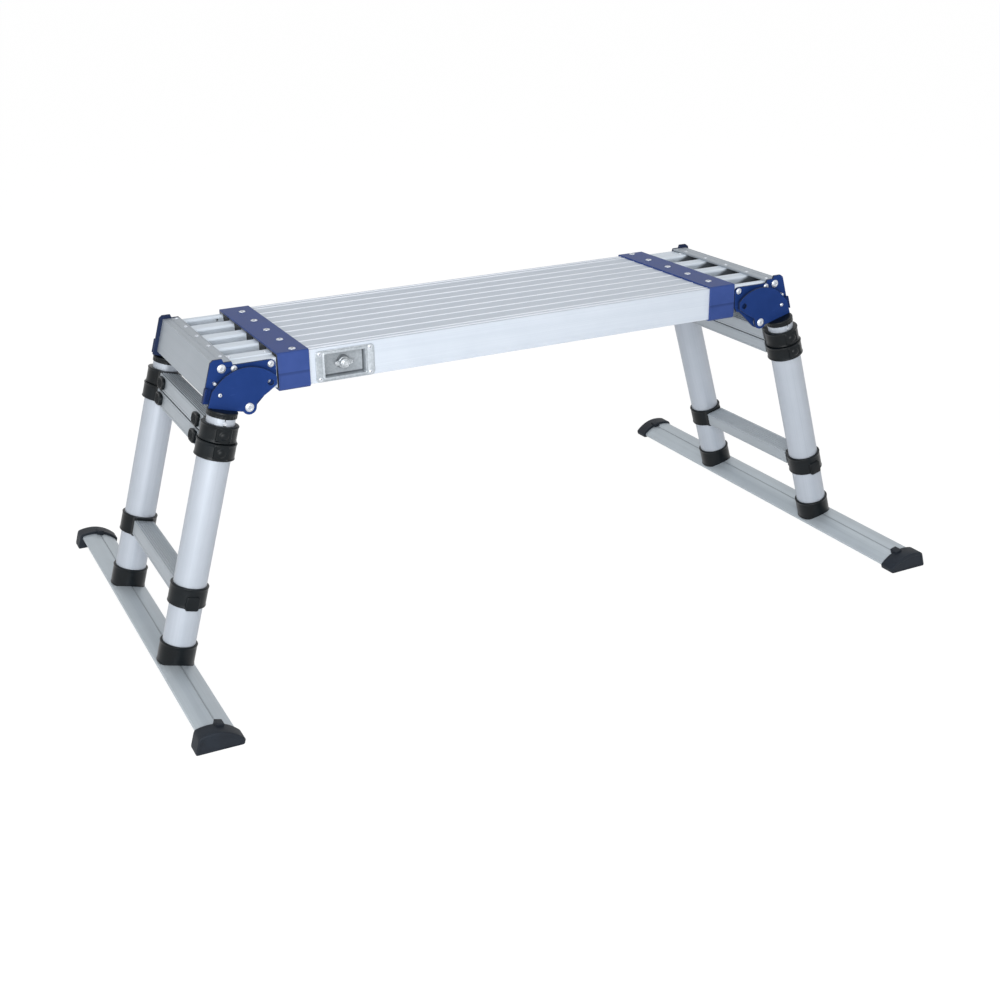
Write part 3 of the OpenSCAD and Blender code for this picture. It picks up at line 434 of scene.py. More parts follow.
def turned(profile, axis, at, columns=36):
    # a lathe shape: profile of (radius, height) rows about an axis through "at"
    angle = around(columns)
    profile = np.array(profile, float)
    radius, height = profile[:, :1], profile[:, 1:]
    u, v = radius * np.cos(angle), radius * np.sin(angle)
    h = height + 0 * angle
    order = {"y": (u, h, v), "z": (u, v, h)}[axis]
    return np.stack(order, axis=-1) + np.array(at, float)

def legShells(end, *shapes, **marks):
    return [sheetOf(legPoint(shape, end, side), **marks) for side in sides for shape in shapes]

def roundedLoop(halfA, halfB, radius, count=5):
    # outline of a rectangle with round corners, as two columns
    corners = []
    for i, (a, b) in enumerate([(1, 1), (-1, 1), (-1, -1), (1, -1)]):
        angle = np.linspace(0, math.pi / 2, count) + i * math.pi / 2
        corners.append(np.stack([a * (halfA - radius) + radius * np.cos(angle),
                                 b * (halfB - radius) + radius * np.sin(angle)], axis=-1))
    return np.vstack(corners)

def block(low, high, corner, edge, axis=2):
    # a box with round upright corners, and round edges at its two ends along the axis
    low, high = np.array(low, float), np.array(high, float)
    a, b = [i for i in range(3) if i != axis]
    half, middle = (high - low) / 2, (high + low) / 2
    fall, climb = rounding(edge)
    rows = []
    for i, h in zip([*fall, *climb], [*(low[axis] + climb), *(high[axis] - fall)]):
        loop = roundedLoop(half[a] - i, half[b] - i, max(corner - i, 0.05))
        row = np.zeros((len(loop), 3))
        row[:, a], row[:, b], row[:, axis] = loop[:, 0] + middle[a], loop[:, 1] + middle[b], h
        rows.append(row)
    return np.array(rows)

print("surface tools ready")

# sliding collars and base rings
collarLook = {
    "columns": 144, "rows": 22, "edge": 1.3, "flare": 0.8, "padWidth": 11.5, "padStand": 0.9, "padInset": 3,
    "dome": (6.6, 3.2), "blend": 26, "corner": 10, "pinHole": (5.2, 6.4), "web": 0.8, "fit": 0.5,
}
baseLook = dict(collarLook, flare=0.6, thinner=1, lug=((-10.5, 22, -2), (10.5, 32, 21)), lugRound=(3, 1.4))
socketLook = dict(collarLook, flare=0.7, wall=3, lift=2)

def ringShape(radius, bore, bottom, height, look, boss=True, slides=False):
    # radius over angle and height: the larger of a circle and of the block that holds the rung, with flared
    # rims, and where it slides a flat pad on the outer side (the circle's tangent plane) with a dome on it
    angle = around(look["columns"])
    edge = look["edge"]
    fall, climb = rounding(edge)
    level = np.linspace(edge, height - edge, look["rows"])[1:-1]
    rise = np.concatenate([[0], climb, level, height - fall, [height]])
    inset = np.concatenate([[0], fall, 0 * level, climb, [0]])
    outside = np.ones(len(rise))
    outside[[0, -1]] = 0
    t = np.abs(np.sin(angle))
    away = np.cos(angle)
    fades = [np.exp(-(gap / 1.6) ** 2) for gap in (rise - edge, height - edge - rise)]
    outline = (radius + look["flare"] * (fades[0] + fades[1]))[:, None] + 0 * angle
    if boss:
        power, blend = look["corner"], look["blend"]
        inward = np.maximum(-away, 1e-6)
        wide, deep = sizes["rungDepth"] / 2 + 0.6, legY - sizes["boss"]
        box = ((t / wide) ** power + (inward / deep) ** power) ** (-1 / power)
        box = np.where(away < 0, box, 0)
        outline = (outline ** blend + box ** blend) ** (1 / blend)
    if slides:
        spread, pad = t * radius, look["padInset"]
        flat = (radius + look["padStand"]) / np.maximum(away, 0.2)
        mask = np.clip((look["padWidth"] - spread) / 0.9, 0, 1) * (away > 0)
        within = np.clip((rise - pad) / 1.2, 0, 1) * np.clip((height - pad - rise) / 1.2, 0, 1)
        mask = mask * within[:, None]
        outline = outline * (1 - mask) + np.maximum(flat, outline) * mask
        size, stand = look["dome"]
        gap = (spread ** 2 + ((rise - height / 2) ** 2)[:, None]) / size ** 2
        outline = outline + stand * np.sqrt(np.clip(1 - gap, 0, 1)) * (away > 0)
    reach = np.where(outside[:, None] > 0, outline - inset[:, None], bore)
    if slides:
        # the bore's wall, sunk round the latch's pin to a thin web behind the rung's block
        fall = np.linspace(height, 0, look["rows"] + 2)[1:-1]
        full, none = look["pinHole"]
        gap = np.hypot(bore * np.sin(angle), (fall - height / 2)[:, None])
        mask = np.clip((none - gap) / (none - full), 0, 1) * (away < 0)
        wall = bore + (legY - sizes["boss"] - look["web"] - bore) * mask
        reach, rise = np.vstack([reach, wall]), np.concatenate([rise, fall])
    return legRound(reach, angle, bottom + rise[:, None])

for end in ends:
    for name, tube, inner in (("mid", "midTube", "topTube"), ("low", "lowTube", "midTube")):
        shape = ringShape(sizes[tube] + sizes["wall"], sizes[inner] + collarLook["fit"], sizes[name + "Ring"],
                          sizes["ring"], collarLook, slides=True)
        makePiece(f"{name}_collar_skin_{end}", legShells(end, shape, loop=True), f"leg_{name}_{end}", "black",
                  "nylon", f"{name}_collars_{end}")
print("sliding collars made")

def baseShapes():
    # ring, lug on its outer side, and the socket on the foot bar
    bore, base, seat = sizes["lowTube"], sizes["baseRing"], sizes["barEdge"] + socketLook["lift"]
    ring = ringShape(bore + sizes["wall"] - baseLook["thinner"], bore, base, sizes["baseHeight"], baseLook)
    lug = block(*(np.add(corner, (0, legY, base)) for corner in baseLook["lug"]), *baseLook["lugRound"], axis=1)
    foot = ringShape(bore + socketLook["wall"], bore, seat, sizes["socketTop"] - seat, socketLook, boss=False)
    return (ring, True), (lug, False), (foot, True)

for end in ends:
    shells = [sheetOf(legPoint(shape, end, side), loop=loop) for side in sides for shape, loop in baseShapes()]
    makePiece(f"base_fitting_skin_{end}", shells, f"leg_low_{end}", "black", "nylon", f"base_fittings_{end}")
print("base rings made")

# black caps in the tube tops
capLook = {"ribs": 26, "ribDepth": 0.45, "columns": 208, "height": 9.5, "flange": 1.5, "plug": 16}

def capShape(look):
    # a lathe shape whose skirt has fine upright ribs: radius less a cosine wave over the angle
    top, skirt = sizes["capTop"], sizes["topTube"] + look["flange"]
    plug = sizes["topTube"] - sizes["tubeWall"]
    base = top - look["height"]
    foot = base - look["plug"]
    rows = [(plug - 0.5, foot, 0), (plug, foot + 0.8, 0), (plug, base, 0), (skirt - 0.6, base, 0),
            (skirt, base + 0.6, 0.4), (skirt, base + 1.4, 1), (skirt, top - 4.2, 1), (skirt, top - 3.4, 0.2),
            (skirt + 0.3, top - 3.0, 0), (skirt + 0.3, top - 1.2, 0), (skirt - 0.1, top - 0.4, 0),
            (skirt - 1.2, top, 0), (skirt - 6, top + 0.25, 0), (4, top + 0.4, 0)]
    radius, height, ribbed = (np.array(column)[:, None] for column in zip(*rows))
    angle = around(look["columns"])
    wave = np.clip(np.cos(angle * look["ribs"]) * 1.6, -1, 1)
    reach = radius - look["ribDepth"] * ribbed * (1 - wave) / 2
    return legRound(reach, angle, height)

for end in ends:
    makePiece(f"leg_cap_skin_{end}", legShells(end, capShape(capLook)), f"leg_top_{end}", "black", "nylon",
              f"leg_caps_{end}")
print("leg caps made")

# rubber end caps of the foot bars
footLook = {"wall": 4.7, "grip": 10, "beyond": 18, "bend": 1.8, "rim": 0.9, "recess": 0.7, "centre": (0, 8.0),
            "tongue": (12, 16, 3.4), "tongueBack": 6.5, "tongueSunk": 4.6, "tongueRound": (1.2, 0.8)}

def barTop(t):
    # arched: edge + arch (1 - (2 t / width)^2)
    return sizes["barEdge"] + sizes["barArch"] * (1 - (2 * t / sizes["barWidth"]) ** 2)

def footLoop(wall, outer):
    # outline across the bar: arched top, two sides and a floor, which is level on the ground for the outer
    # loop and flush with the bar's bottom for the inner one; the outer's corners are softened by averaging
    half = sizes["barWidth"] / 2 + wall
    up, down = np.linspace(half, -half, 31), np.linspace(-half, half, 25)
    low = -down * lean[1] / lean[0] if outer else sizes["barBottom"] + 0 * down
    top, floor = np.stack([up, barTop(up) + wall], axis=-1), np.stack([down, low], axis=-1)
    part = np.linspace(0, 1, 8)[1:-1, None]
    loop = np.vstack([top, top[-1] * (1 - part) + floor[0] * part,
                      floor, floor[-1] * (1 - part) + top[0] * part])
    if outer:
        loop = 0.5 * loop + 0.25 * (np.roll(loop, 1, axis=0) + np.roll(loop, -1, axis=0))
    return loop

def footShape(look):
    # the loft runs from the hole's bottom to its rim, over the rim and along the cap to its end face
    end, bend = sizes["barLength"] / 2, look["bend"]
    rim, tip = end - look["grip"], end + look["beyond"]
    hole, shell = footLoop(0, False), footLoop(look["wall"], True)
    middle = np.array(look["centre"])
    rows = [(hole, 0, end), (hole, 0, rim)]
    rows += [(shell, fall, rim + climb) for fall, climb in zip(*rounding(look["rim"], 6))]
    rows += [(shell, 0, rim + d) for d in (3, 8, 16)]
    rows += [(shell, climb, tip - fall) for fall, climb in zip(*rounding(bend, 6))]
    rows += [(shell, bend + 2.2, tip)] + [(shell, inset, tip - look["recess"]) for inset in (bend + 2.8, 16)]
    grid = []
    for loop, inset, y in rows:
        scale = 1 - inset / np.array([sizes["barWidth"] / 2 + look["wall"], 14.0])
        spot = middle + (loop - middle) * np.maximum(scale, 0.05)
        grid.append(np.stack([spot[:, 0], np.full(len(spot), y), spot[:, 1]], axis=-1))
    return np.array(grid)

def tongueShape(look):
    # the raised tongue on the cap's top
    wide, long, stand = look["tongue"]
    back = sizes["barLength"] / 2 - look["grip"] - look["tongueBack"]
    top = barTop(0) + look["wall"]
    return block((-wide / 2, back, top - look["tongueSunk"]), (wide / 2, back + long, top + stand),
                 *look["tongueRound"])

for end in ends:
    shells = legShells(end, footShape(footLook), tongueShape(footLook))
    makePiece(f"foot_cap_skin_{end}", shells, f"leg_low_{end}", "rubber", "rubber", f"foot_caps_{end}")
print("foot caps made")

# latches
latchLook = {"pin": 4, "pinGap": 0.5, "slider": 12, "sliderLong": (-9, 6), "neck": (10, 8), "neckOut": 1.3,
             "thick": 5.6, "long": 14, "high": 10, "ridges": 1.9, "ridgeHeight": 0.45}

def tabShape(s, look):
    # thumb tab: a D outline (square towards the collar, round away from it) with a ribbed, slightly domed face
    angle = around(72)
    y, z = np.cos(angle), np.sin(angle)
    power = np.where(y > 0, 7.0, 2.6)
    reach = (np.abs(y) ** power + np.abs(z) ** power) ** (-1 / power)
    loop = np.stack([look["long"] * reach * y, look["high"] * reach * z], axis=-1)
    thick, edge, shrink = look["thick"], 1.7, 0.14
    scale = np.concatenate([[0.9, 1, 1], 1 - rounding(shrink, 5)[1], np.linspace(1 - shrink, 0.05, 22)[1:]])
    level = np.concatenate([[0, 0.4, thick - edge], thick - rounding(edge, 5)[0], np.full(21, thick)])
    spot = loop[None] * scale[:, None, None]
    inner = np.clip((0.8 - scale) / 0.08, 0, 1)[:, None]
    ridge = inner * look["ridgeHeight"] * np.cos(spot[..., 0] * 2 * math.pi / look["ridges"])
    dome = 0.5 * (1 - scale[:, None] ** 2) * (scale[:, None] < 0.9)
    rise = sizes["rungDepth"] / 2 + 0.3 + level[:, None] + dome + ridge
    return np.stack([rise, sizes["tab"] + spot[..., 0], s + spot[..., 1]], axis=-1)

def latchShapes(s, inner, look):
    # thumb tab, the neck through the rung's slot, the slider in the rung and the pin with its chamfered tip
    tab, half, pin = sizes["tab"], look["slider"] / 2, look["pin"]
    wide, tall = (v / 2 for v in look["neck"])
    back, ahead = look["sliderLong"]
    tip = legY - inner - look["pinGap"]
    shaft = [(pin - 0.8, tab + 2), (pin, tab + 3), (pin, tip - 1), (pin - 0.6, tip - 0.2), (pin - 1.4, tip)]
    out = sizes["rungDepth"] / 2 + look["neckOut"]
    return (tabShape(s, look),
            block((0, tab - wide, s - tall), (out, tab + wide, s + tall), 1, 0.6, axis=0),
            block((-half, tab + back, s - half), (half, tab + ahead, s + half), 1.5, 0.8, axis=1),
            turned(shaft, "y", (0, 0, s), 40))

for end in ends:
    for stage, inner in (("mid", "topTube"), ("low", "midTube")):
        shapes = latchShapes(sizes[stage + "Ring"] + sizes["ring"] / 2, sizes[inner], latchLook)
        for side in sides:
            name = f"{stage}_latch_{side}_{end}"
            shells = [sheetOf(legPoint(shape, end, side)) for shape in shapes]
            makePiece(name + "_skin", shells, name, "latch", "nylon", name)
print("latches made")

# rivets
def headProfile(rim, *rows):
    # (radius, height) rows of a rivet's head from its seat up: insets in mm for the rim, shares for the rest
    def profile(radius, height):
        seat = [(radius - 0.4, -0.3), (radius, -0.05)] + [(radius - inset, h * height) for inset, h in rim]
        return seat + [(r * radius, h * height) for r, h in rows]
    return profile

def rivetProfile(dimple):
    # a flanged rivet: rim, set-in dome and a centre dimple
    return headProfile(((0, 0.22), (0.25, 0.36)), (0.80, 0.42), (0.74, 0.44), (0.70, 0.62), (0.60, 0.86),
                       (0.46, 0.98), (0.34, 1), (0.27, 1 - 0.4 * dimple), (0.2, 1 - dimple), (0.03, 1 - dimple))

# a side plate's rivet: rim, dome and a shallow flat disc pressed into its middle
setProfile = headProfile(((0, 0.2), (0.3, 0.36)), (0.84, 0.5), (0.74, 0.7), (0.62, 0.88), (0.5, 0.98),
                         (0.45, 1), (0.42, 0.96), (0.39, 0.86), (0.2, 0.87), (0.03, 0.88))

# a flat blind rivet: wide rim, ring groove and the broken stem in the middle
discProfile = headProfile(((0, 0.5), (0.5, 0.85), (1.1, 1)), (0.52, 1), (0.46, 0.72), (0.36, 0.66),
                          (0.31, 0.9), (0.26, 0.98), (0.02, 0.98))

rivets = {
    "collar": {"size": (5.5, 1.6), "x": 388, "y": (-111.3, -47.7, 15.9, 79.5, 136.5), "z": 483},
    "end": {"size": (3.4, 1.7), "x": 493, "y": (111.3, 47.7, -15.9, -79.5, -136.5), "z": 480.3,
            "more": ((480, 111.3, slatTop), (424, 111.3, slatTop))},
    "side": {"height": 2.4, "at": ((35, 62.6, 6.8), (16, 60.1, 5), (-41.5, 58.8, 5.4), (-36, 33.5, 3.2))},
    "lock": {"size": (3.6, 1.4), "x": 41.5, "z": 20, "y": 149},
    "pivot": {"outer": (7, 2.6), "outerY": 159.3, "inner": (8, 2.5), "innerY": 144.3, "spacer": 8, "pin": 5},
    "stop": {"at": (48.5, 42.5), "radius": 2.5, "reach": (144.3, 154.7)},
    "stud": {"size": (3.7, 2.0), "at": (43.7, 159, 25.8)},
    "button": {"s": 411.4,
               "rows": [(2.6, -0.6), (2.8, 0.2), (2.6, 0.55), (1.9, 0.6), (1.7, 0.35), (0.1, 0.35)]},
}

def head(profile, axis, x, y, z, end, side="back", **marks):
    return sheetOf(endPoint(turned(profile, axis, (x, y, z)), end, side), **marks)

def pivotHead(profile, x, y, z, end, side, **marks):
    # placed from the leg's pivot
    return head(profile, "y", pivotX + x, y, pivotZ + z, end, side, **marks)

def deckRivets(end):
    spec = rivets["collar"]
    disc = discProfile(*spec["size"])
    shells = [head(disc, "z", spec["x"], y, spec["z"], end, sunk=3) for y in spec["y"]]
    spec = rivets["lock"]
    dome = rivetProfile(0.8)(*spec["size"])
    return shells + [head(dome, "y", lockX + i * spec["x"], spec["y"], lockZ + j * spec["z"], end, sunk=2)
                     for i in (-1, 1) for j in (-1, 1)]

def endRivets(end):
    spec = rivets["end"]
    places = [(spec["x"], y, spec["z"]) for y in spec["y"]] + list(spec["more"])
    shells = [head(rivetProfile(0.5)(*spec["size"]), "z", *place, end, sunk=2) for place in places]
    (x, z), pin, (low, high) = rivets["stop"].values()
    stop = [(pin - 0.4, low), (pin, low + 0.4), (pin, high - 0.6), (pin - 0.6, high)]
    for side in sides:
        shells += [pivotHead(setProfile(radius, rivets["side"]["height"]), a, sizes["plateY"], b, end, side,
                             sunk=3, shade=0.35) for a, b, radius in rivets["side"]["at"]]
        shells.append(pivotHead(stop, x, 0, z, end, side))
    return shells

def pivotPin(end, side):
    # domed head outside, head inside, and the shaft with its spacer between the plates
    spec = rivets["pivot"]
    pin, spacer = spec["pin"], spec["spacer"]
    inner = [(r, -h) for r, h in rivetProfile(0.3)(*spec["inner"])]
    shaft = [(pin - 0.4, 143.8), (pin, 144.2), (pin, 148.3), (spacer - 0.3, 148.32), (spacer, 148.6),
             (spacer, 154.4), (spacer - 0.3, 154.68), (pin, 154.7), (pin, 159.2), (pin - 0.5, 159.4)]
    return [pivotHead(setProfile(*spec["outer"]), 0, spec["outerY"], 0, end, side, sunk=3, shade=0.35),
            pivotHead(inner, 0, spec["innerY"], 0, end, side), pivotHead(shaft, 0, 0, 0, end, side)]

def legStuds(end, side):
    # the lever's pin head on the leg plate, and the stop button on the tube below the cap
    spec, button = rivets["stud"], rivets["button"]
    shape = turned(button["rows"], "y", (0, legY + sizes["topTube"], button["s"]))
    return [pivotHead(setProfile(*spec["size"]), *spec["at"], end, side, sunk=3, shade=0.15),
            sheetOf(legPoint(shape, end, side))]

makePiece("deck_rivet_skin", [shell for end in ends for shell in deckRivets(end)], "root", "rivet", "rivet",
          "deck_rivets")
for end in ends:
    makePiece(f"end_rivet_skin_{end}", endRivets(end), f"end_{end}", "rivet", "rivet", f"end_rivets_{end}")
    pins = [shell for side in sides for shell in pivotPin(end, side)]
    makePiece(f"pivot_pin_skin_{end}", pins, f"end_{end}", "rivet", "rivet", f"pivot_pins_{end}")
for end in ends:
    studs = [shell for side in sides for shell in legStuds(end, side)]
    makePiece(f"leg_studs_{end}", studs, f"leg_top_{end}", "rivet", "rivet")
print("rivets made")

# extension lock
lockLook = {"corner": 6, "thick": 2, "window": 1.8, "floor": 135, "back": 133, "skin": 2.4, "seat": 0.02,
            "edge": 0.9, "ring": 11, "ringHigh": 1.5, "hole": 4.35, "bead": 0.7, "wing": (9.5, 15.2, 4.3),
            "knurls": 22, "knurlDepth": 0.3}

def lockRound(u, v, y):
    # u along and v up from the lock's middle
    return np.stack([lockX + u, y + 0 * u, lockZ + v], axis=-1)

def lockShape(look):
    # one shell in nested loops: from the recess's outside, over the face plate and its beaded window, down the
    # drafted walls, over the floor and the cam ring to the pin hole; rows of half length, half height, corner, y
    long, high = (v / 2 for v in sizes["lockPlate"])
    wide, tall = (v / 2 for v in sizes["lockWindow"])
    seat, face = sizes["halfWidth"] + look["seat"], sizes["halfWidth"] + look["thick"]
    corner, back, floor, bead = look["corner"], look["back"], look["floor"], look["bead"]
    a, b = wide + look["skin"] - 0.2, tall + look["skin"] - 0.2
    rows = [(1.2, 1.2, 1.2, back), (a - 1.5, b - 1.5, 3, back), (a, b, 3.5, back + 1.5), (a, b, 3.5, seat),
            (long - 0.3, high - 0.3, corner, seat)]
    rows += [(long - climb, high - climb, corner, face - fall) for fall, climb in zip(*rounding(look["edge"]))]
    rows += [(long - 2.2, high - 2.2, corner - 1, face), (wide + 5, high - 1.9, corner - 1, face)]
    rows += [(wide + off, tall + off, look["window"], face + rise) for off, rise in
             ((4.6, -0.25), (4.0, -0.3), (2.6, -0.3), (2.1, 0), (1.6, bead * 0.8), (1.1, bead),
              (0.6, bead * 0.75), (0.15, 0), (0, -0.8))]
    rows += [(wide - inset, tall - inset, look["window"], floor + rise) for inset, rise in
             ((0.4, 6), (0.8, 1.6), (1.2, 0.5), (2.4, 0))]
    ring, rim, hole = look["ring"], look["ringHigh"], look["hole"]
    rows += [(radius, radius, radius, floor + rise) for radius, rise in
             ((ring + 1.6, 0), (ring + 0.2, 0), (ring, 0.3), (ring, rim - 0.4), (ring - 0.4, rim),
              (ring - 1.6, rim), (ring - 2.0, rim - 0.5), (hole + 1, rim - 0.5), (hole, rim - 0.8),
              (hole, -0.5), (0.3, -0.5))]
    loops = [(roundedLoop(a, b, min(corner, a, b), 12).T, y) for a, b, corner, y in rows]
    return np.array([lockRound(u, v, y) for (u, v), y in loops])

def wingShape(look):
    # disc with two ears: the larger of a circle and a flat superellipse; a raised rim round the pin's hole
    angle = around(120)
    disc, long, high = look["wing"]
    ears = ((np.abs(np.cos(angle)) / long) ** 3 + (np.abs(np.sin(angle)) / high) ** 3) ** (-1 / 3)
    outline = (disc ** 14 + ears ** 14) ** (1 / 14)
    rows = [(0, 141.8, 0), (1, 141.8, 0.7), (1, 142.2, 0), (1, 144.0, 0), (1, 144.5, 0.35), (1, 144.8, 0.9),
            (1, 144.8, 1.7), (1, 144.25, 2.3), (0, 144.25, 1.2), (0, 144.4, 0)]
    grid = []
    for outer, y, inset in rows:
        reach = outline - inset if outer else look["hole"] - 0.2 + inset
        grid.append(lockRound(reach * np.cos(angle), reach * np.sin(angle), y))
    return np.array(grid)

def knobShape(look):
    # lathe shape with a coined rim (a cosine wave), a ring groove on its face and the pin behind
    rows = [(3.4, 126.15, 0), (4, 126.8, 0), (4, 145.0, 0), (6.4, 145.1, 0), (7.5, 145.8, 0.3), (8, 146.3, 1),
            (8, 148.3, 1), (7.6, 149.0, 0.3), (6.8, 149.9, 0), (6.2, 150.1, 0), (5.9, 149.6, 0), (5.4, 149.6, 0),
            (5.1, 150.3, 0), (4.2, 150.75, 0), (2.2, 151.05, 0), (1.7, 150.8, 0), (0.1, 150.75, 0)]
    radius, y, ribbed = (np.array(column)[:, None] for column in zip(*rows))
    angle = around(look["knurls"] * 6)
    reach = radius - look["knurlDepth"] * ribbed * (1 - np.cos(look["knurls"] * angle)) / 2
    return lockRound(reach * np.cos(angle), reach * np.sin(angle), y)

housings = [sheetOf(endPoint(lockShape(lockLook), end)) for end in ends]
makePiece("lock_housing_skin", housings, "root", "lock_plate", "lockPlate", "lock_housings")
for end in ends:
    for name, body, shape in (("lock_wing", "wing", wingShape), ("lock_pin", "lock", knobShape)):
        shell = sheetOf(endPoint(shape(lockLook), end), loop=body == "wing")
        makePiece(f"{name}_skin_{end}", [shell], f"{body}_{end}", "lock_plate", "knob", f"{name}_{end}")
print("locks made")

# solids shown with a small change of shape
changes = {
    "rail": {"inside": 423, "to": 417.0},             # the side rail meets the deck
    "plug": {"outside": 418.5, "to": 416.7},          # the plugs end close to the planks
    "plate": {"inside": 486, "above": 465, "to": 475.1, "corner": 430, "back": 1.6,
              "heights": (477.3, 482.3, 483.3, 487.3), "lower": (477.3, 480.9, 482.5, 486.5)},
    "lever": {"outside": 153.5, "to": 153.7, "edge": 527, "back": 2.6},
}

def nodeShell(node, change):
    # a node's own triangles, with points at one place merged and then moved
    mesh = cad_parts[node].data
    spots = np.empty(len(mesh.vertices) * 3, np.float32)
    mesh.vertices.foreach_get("co", spots)
    corners = np.empty(len(mesh.loops), np.int32)
    mesh.loops.foreach_get("vertex_index", corners)
    spots = np.round(spots.reshape(-1, 3).astype(float) / mm, 3)
    spots, index = np.unique(spots, axis=0, return_inverse=True)
    faces = index.ravel()[corners].reshape(-1, 3)
    return np.column_stack(change(*spots.T)) * mm, np.zeros((0, 4), int), faces, np.zeros(len(spots))

def moved(v, which, to):
    # some of the values to a distance from the middle, each on its own side
    return np.where(which, np.sign(v) * to, v)

def longerRail(x, y, z):
    spec = changes["rail"]
    return moved(x, abs(x) < spec["inside"], spec["to"]), y, z

def shorterPlug(x, y, z):
    spec = changes["plug"]
    return moved(x, abs(x) > spec["outside"], spec["to"]), y, z

def lowerPlate(x, y, z):
    # the edge beside the slats comes down: heights above a level are scaled towards it; the tabs come down
    # by a table of heights, and the end by the deck goes back from the collar
    spec = changes["plate"]
    share = (spec["to"] - spec["above"]) / (slatTop - spec["above"])
    low = (abs(x) < spec["inside"]) & (z > spec["above"]) & (z < slatTop + 0.1)
    tabs = np.where(z > slatTop, np.interp(z, spec["heights"], spec["lower"]), z)
    z = np.where(low, spec["above"] + (z - spec["above"]) * share, tabs)
    return np.where(abs(x) < spec["corner"], x + np.sign(x) * spec["back"], x), y, z

def flatterLever(x, y, z):
    # the thumb tab is narrower and stands out less
    spec = changes["lever"]
    x = np.where(abs(x) > spec["edge"], x - np.sign(x) * spec["back"], x)
    return x, moved(y, abs(y) > spec["outside"], spec["to"]), z

angleLook = {"edge": 486, "corner": 514, "bottom": 427.7, "thick": 3, "lip": 493, "floor": 428.7, "chamfer": 3}

def frameShape(look):
    # an angle section: pairs of outer and inner points (x, z) on its path, spread from side to side
    slope, top = lean[1] / lean[0], sizes["flangeTop"]
    edge, corner, bottom, thick, lip, floor, chamfer = look.values()
    insideTop = corner + (top - slatTop) * slope - thick / lean[0]
    insideFoot = corner + (top - floor) * slope - thick / lean[0]
    foot = corner + (top - bottom) * slope
    path = [((edge, top), (edge, slatTop)), ((corner, top), (insideTop, slatTop)),
            ((foot, bottom), (insideFoot, floor)), ((foot - chamfer, bottom - thick), (insideFoot - 1, floor)),
            ((lip, bottom - thick), (lip, floor))]
    half = sizes["side"]
    return np.array([[(a, -half, b), (a, half, b), (c, half, d), (c, -half, d)] for (a, b), (c, d) in path])

def reshape(node, change, body, slot, finish):
    makePiece(node + "_skin", [nodeShell(node, change)], body, slot, finish, node)

reshape("guide_blocks", shorterPlug, "root", "black", "guide")
for end in ends:
    reshape(f"side_rail_{end}", longerRail, f"end_{end}", "slat", "slat")
    reshape(f"side_plates_{end}", lowerPlate, f"end_{end}", "plate", "plate")
    shells = [sheetOf(endPoint(frameShape(angleLook), end))]
    makePiece(f"end_frame_skin_{end}", shells, f"end_{end}", "end_frame", "endFrame", f"end_frame_{end}")
for node in ("fold_lever_back_left", "fold_lever_front_right"):
    reshape(node, flatterLever, node, "lever", "lever")
print("reshaped pieces made")

# grip strips
treadLook = {
    "sunk": 0.3, "taper": 0.5,
    "crest": {"reach": 366.6, "offset": 0, "width": 2.9, "height": 0.98, "edge": 139.6},
    "deck": {"reach": 365.8, "offset": -5.2, "width": 1.5, "height": 0.4, "edge": 144.2},
    "frame": {"reach": 141.5, "lines": (487.0, 488.6, 500.6, 502.2, 510.4), "width": 0.9, "height": 0.4},
    "rung": {"reach": 123.6, "lines": (-9.6, -8.2, 8.2, 9.6), "width": 0.7, "height": 0.35},
    "ribs": ({"reach": 123.4, "pitch": 4.25, "spread": 3, "width": 2.2, "height": 0.95},
             {"reach": 123.4, "pitch": 4.25, "spread": 2.5, "width": 1.1, "height": 0.4}),
    "rungs": (("mid", "mid", 395), ("low", "low", 368.4), ("base", "low", 133.5)),   # name, stage, middle
}

def strip(centre, seat, spec):
    # a low rounded ridge along the first axis: height (1 - (2 w / width)^2) over its width, sunk into its
    # seat and lower over a short taper at its ends
    width, reach = spec["width"], spec["reach"]
    w = np.linspace(-0.5, 0.5, 9) * width
    rise = spec["height"] * (1 - (2 * w / width) ** 2)
    across = centre + np.concatenate([w, w[::-1]])
    lift = np.concatenate([rise, np.full(9, -treadLook["sunk"])])
    inner = reach - treadLook["taper"]
    grid = np.zeros((4, 18, 3))
    grid[..., 0] = np.array([-reach, -inner, inner, reach])[:, None]
    grid[..., 1] = across
    grid[..., 2] = seat + np.where(lift > 0, lift * np.array([0.25, 1, 1, 0.25])[:, None], lift)
    return grid

for key in ("crest", "deck"):
    spec = treadLook[key]
    ridges = [i * sizes["bay"] + spec["offset"] for i in range(-4, 5)] + [-spec["edge"], spec["edge"]]
    shells = [sheetOf(strip(y, sizes["deckTop"], spec) * mm) for y in ridges]
    makePiece(f"{key}_tread", shells, "root", "deck", key)

def swapped(grid, order):
    # its axes in another order
    return grid[..., list(order)]

def rungStrips(s):
    # lines on both faces of a rung and ribs on its top
    for z in treadLook["rung"]["lines"]:
        line = swapped(strip(z, sizes["rungDepth"] / 2, treadLook["rung"]), (2, 0, 1))
        for k in (1, -1):
            yield line * (k, 1, 1) + (0, 0, s)
    for rib in treadLook["ribs"]:
        for i in np.arange(-rib["spread"], rib["spread"] + 1):
            yield swapped(strip(i * rib["pitch"], s + sizes["rungHeight"] / 2, rib), (1, 0, 2))

for end in ends:
    spec = treadLook["frame"]
    lines = [swapped(strip(x, sizes["flangeTop"], spec), (1, 0, 2)) for x in spec["lines"]]
    makePiece(f"end_frame_tread_{end}", [sheetOf(endPoint(line, end)) for line in lines], f"end_{end}",
              "end_frame", "endFrame")
    for rung, stage, s in treadLook["rungs"]:
        makePiece(f"{rung}_rung_lines_{end}", [sheetOf(legPoint(grid, end)) for grid in rungStrips(s)],
                  f"leg_{stage}_{end}", "rung", "rung" + end.capitalize())
print("grip strips made")

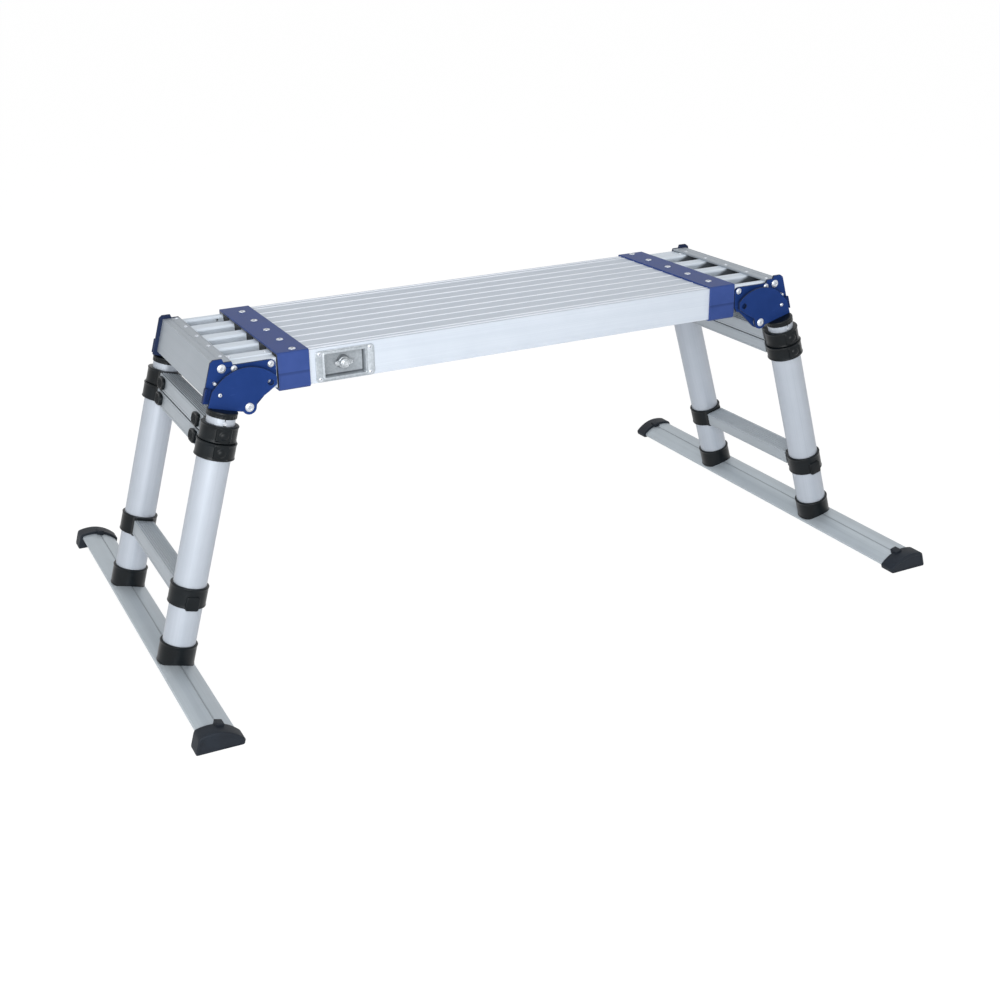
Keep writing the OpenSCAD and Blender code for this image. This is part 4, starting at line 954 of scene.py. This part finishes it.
# stage
studio = {
    "floorSize": 90, "whiteness": 0.85, "glow": 1.1,
    "ambient": 0.42,                     # strength of the white world for diffuse rays
    "aim": (0, 0, 0.3),
    "lamps": [                           # place, size, watts
        ((-1.35, -2.45, 1.15), 2.4, 68),
        ((-3.2, -1.2, 1.2), 2.0, 8),
        ((1.2, 0.8, 3.2), 2.4, 12),
    ],
}

def lightPath(f):
    # 1 for the rays that see the background as it is, 0 for the rest
    rays = ("Camera", "Glossy", "Transmission")
    camera, glossy, through = (f.add("LightPath", output=f"Is {ray} Ray") for ray in rays)
    return f.add("Math", {"operation": "MINIMUM"}, {0: camera + glossy + through, 1: 1.0})

def floorFinish():
    # pale and matt, nearly white for the camera, with the object's shadow kept
    f = newFinish("floor_pale")
    speckle = f.noise((40, 40, 40), 3, 0.5)
    base = f.mix(speckle, srgb(250, 250, 251), srgb(255, 255, 255))
    matt = f.add("BsdfDiffuse", {}, {"Color": base})
    glow = f.add("Emission", {}, {"Color": (1, 1, 1, 1), "Strength": studio["glow"]})
    return f.out(f.add("MixShader", {}, {0: lightPath(f) * studio["whiteness"], 1: matt, 2: glow}))

def makeStage(s):
    half = s["floorSize"] / 2
    data = bpy.data.meshes.new("floor")
    corners = [(-half, -half, 0), (half, -half, 0), (half, half, 0), (-half, half, 0)]
    data.from_pydata(corners, [], [(0, 1, 2, 3)])
    floor = linked("floor", data)
    floor.data.materials.append(floorFinish())
    for i, (place, size, power) in enumerate(s["lamps"]):
        light = bpy.data.lights.new("lamp%d" % i, "AREA")
        light.shape, light.size, light.energy = "DISK", size, power
        thing = linked("lamp%d" % i, light)
        thing.location = place
        thing.rotation_euler = (Vector(s["aim"]) - thing.location).to_track_quat("-Z", "Y").to_euler()
    world = bpy.data.worlds.new("studio")
    bpy.context.scene.world = world
    sky = Finish(world)
    strength = lightPath(sky) * (1 - s["ambient"]) + s["ambient"]
    sky.out(sky.add("Background", {}, {"Color": (1, 1, 1, 1), "Strength": strength}), "World")

makeStage(studio)
print("stage set")
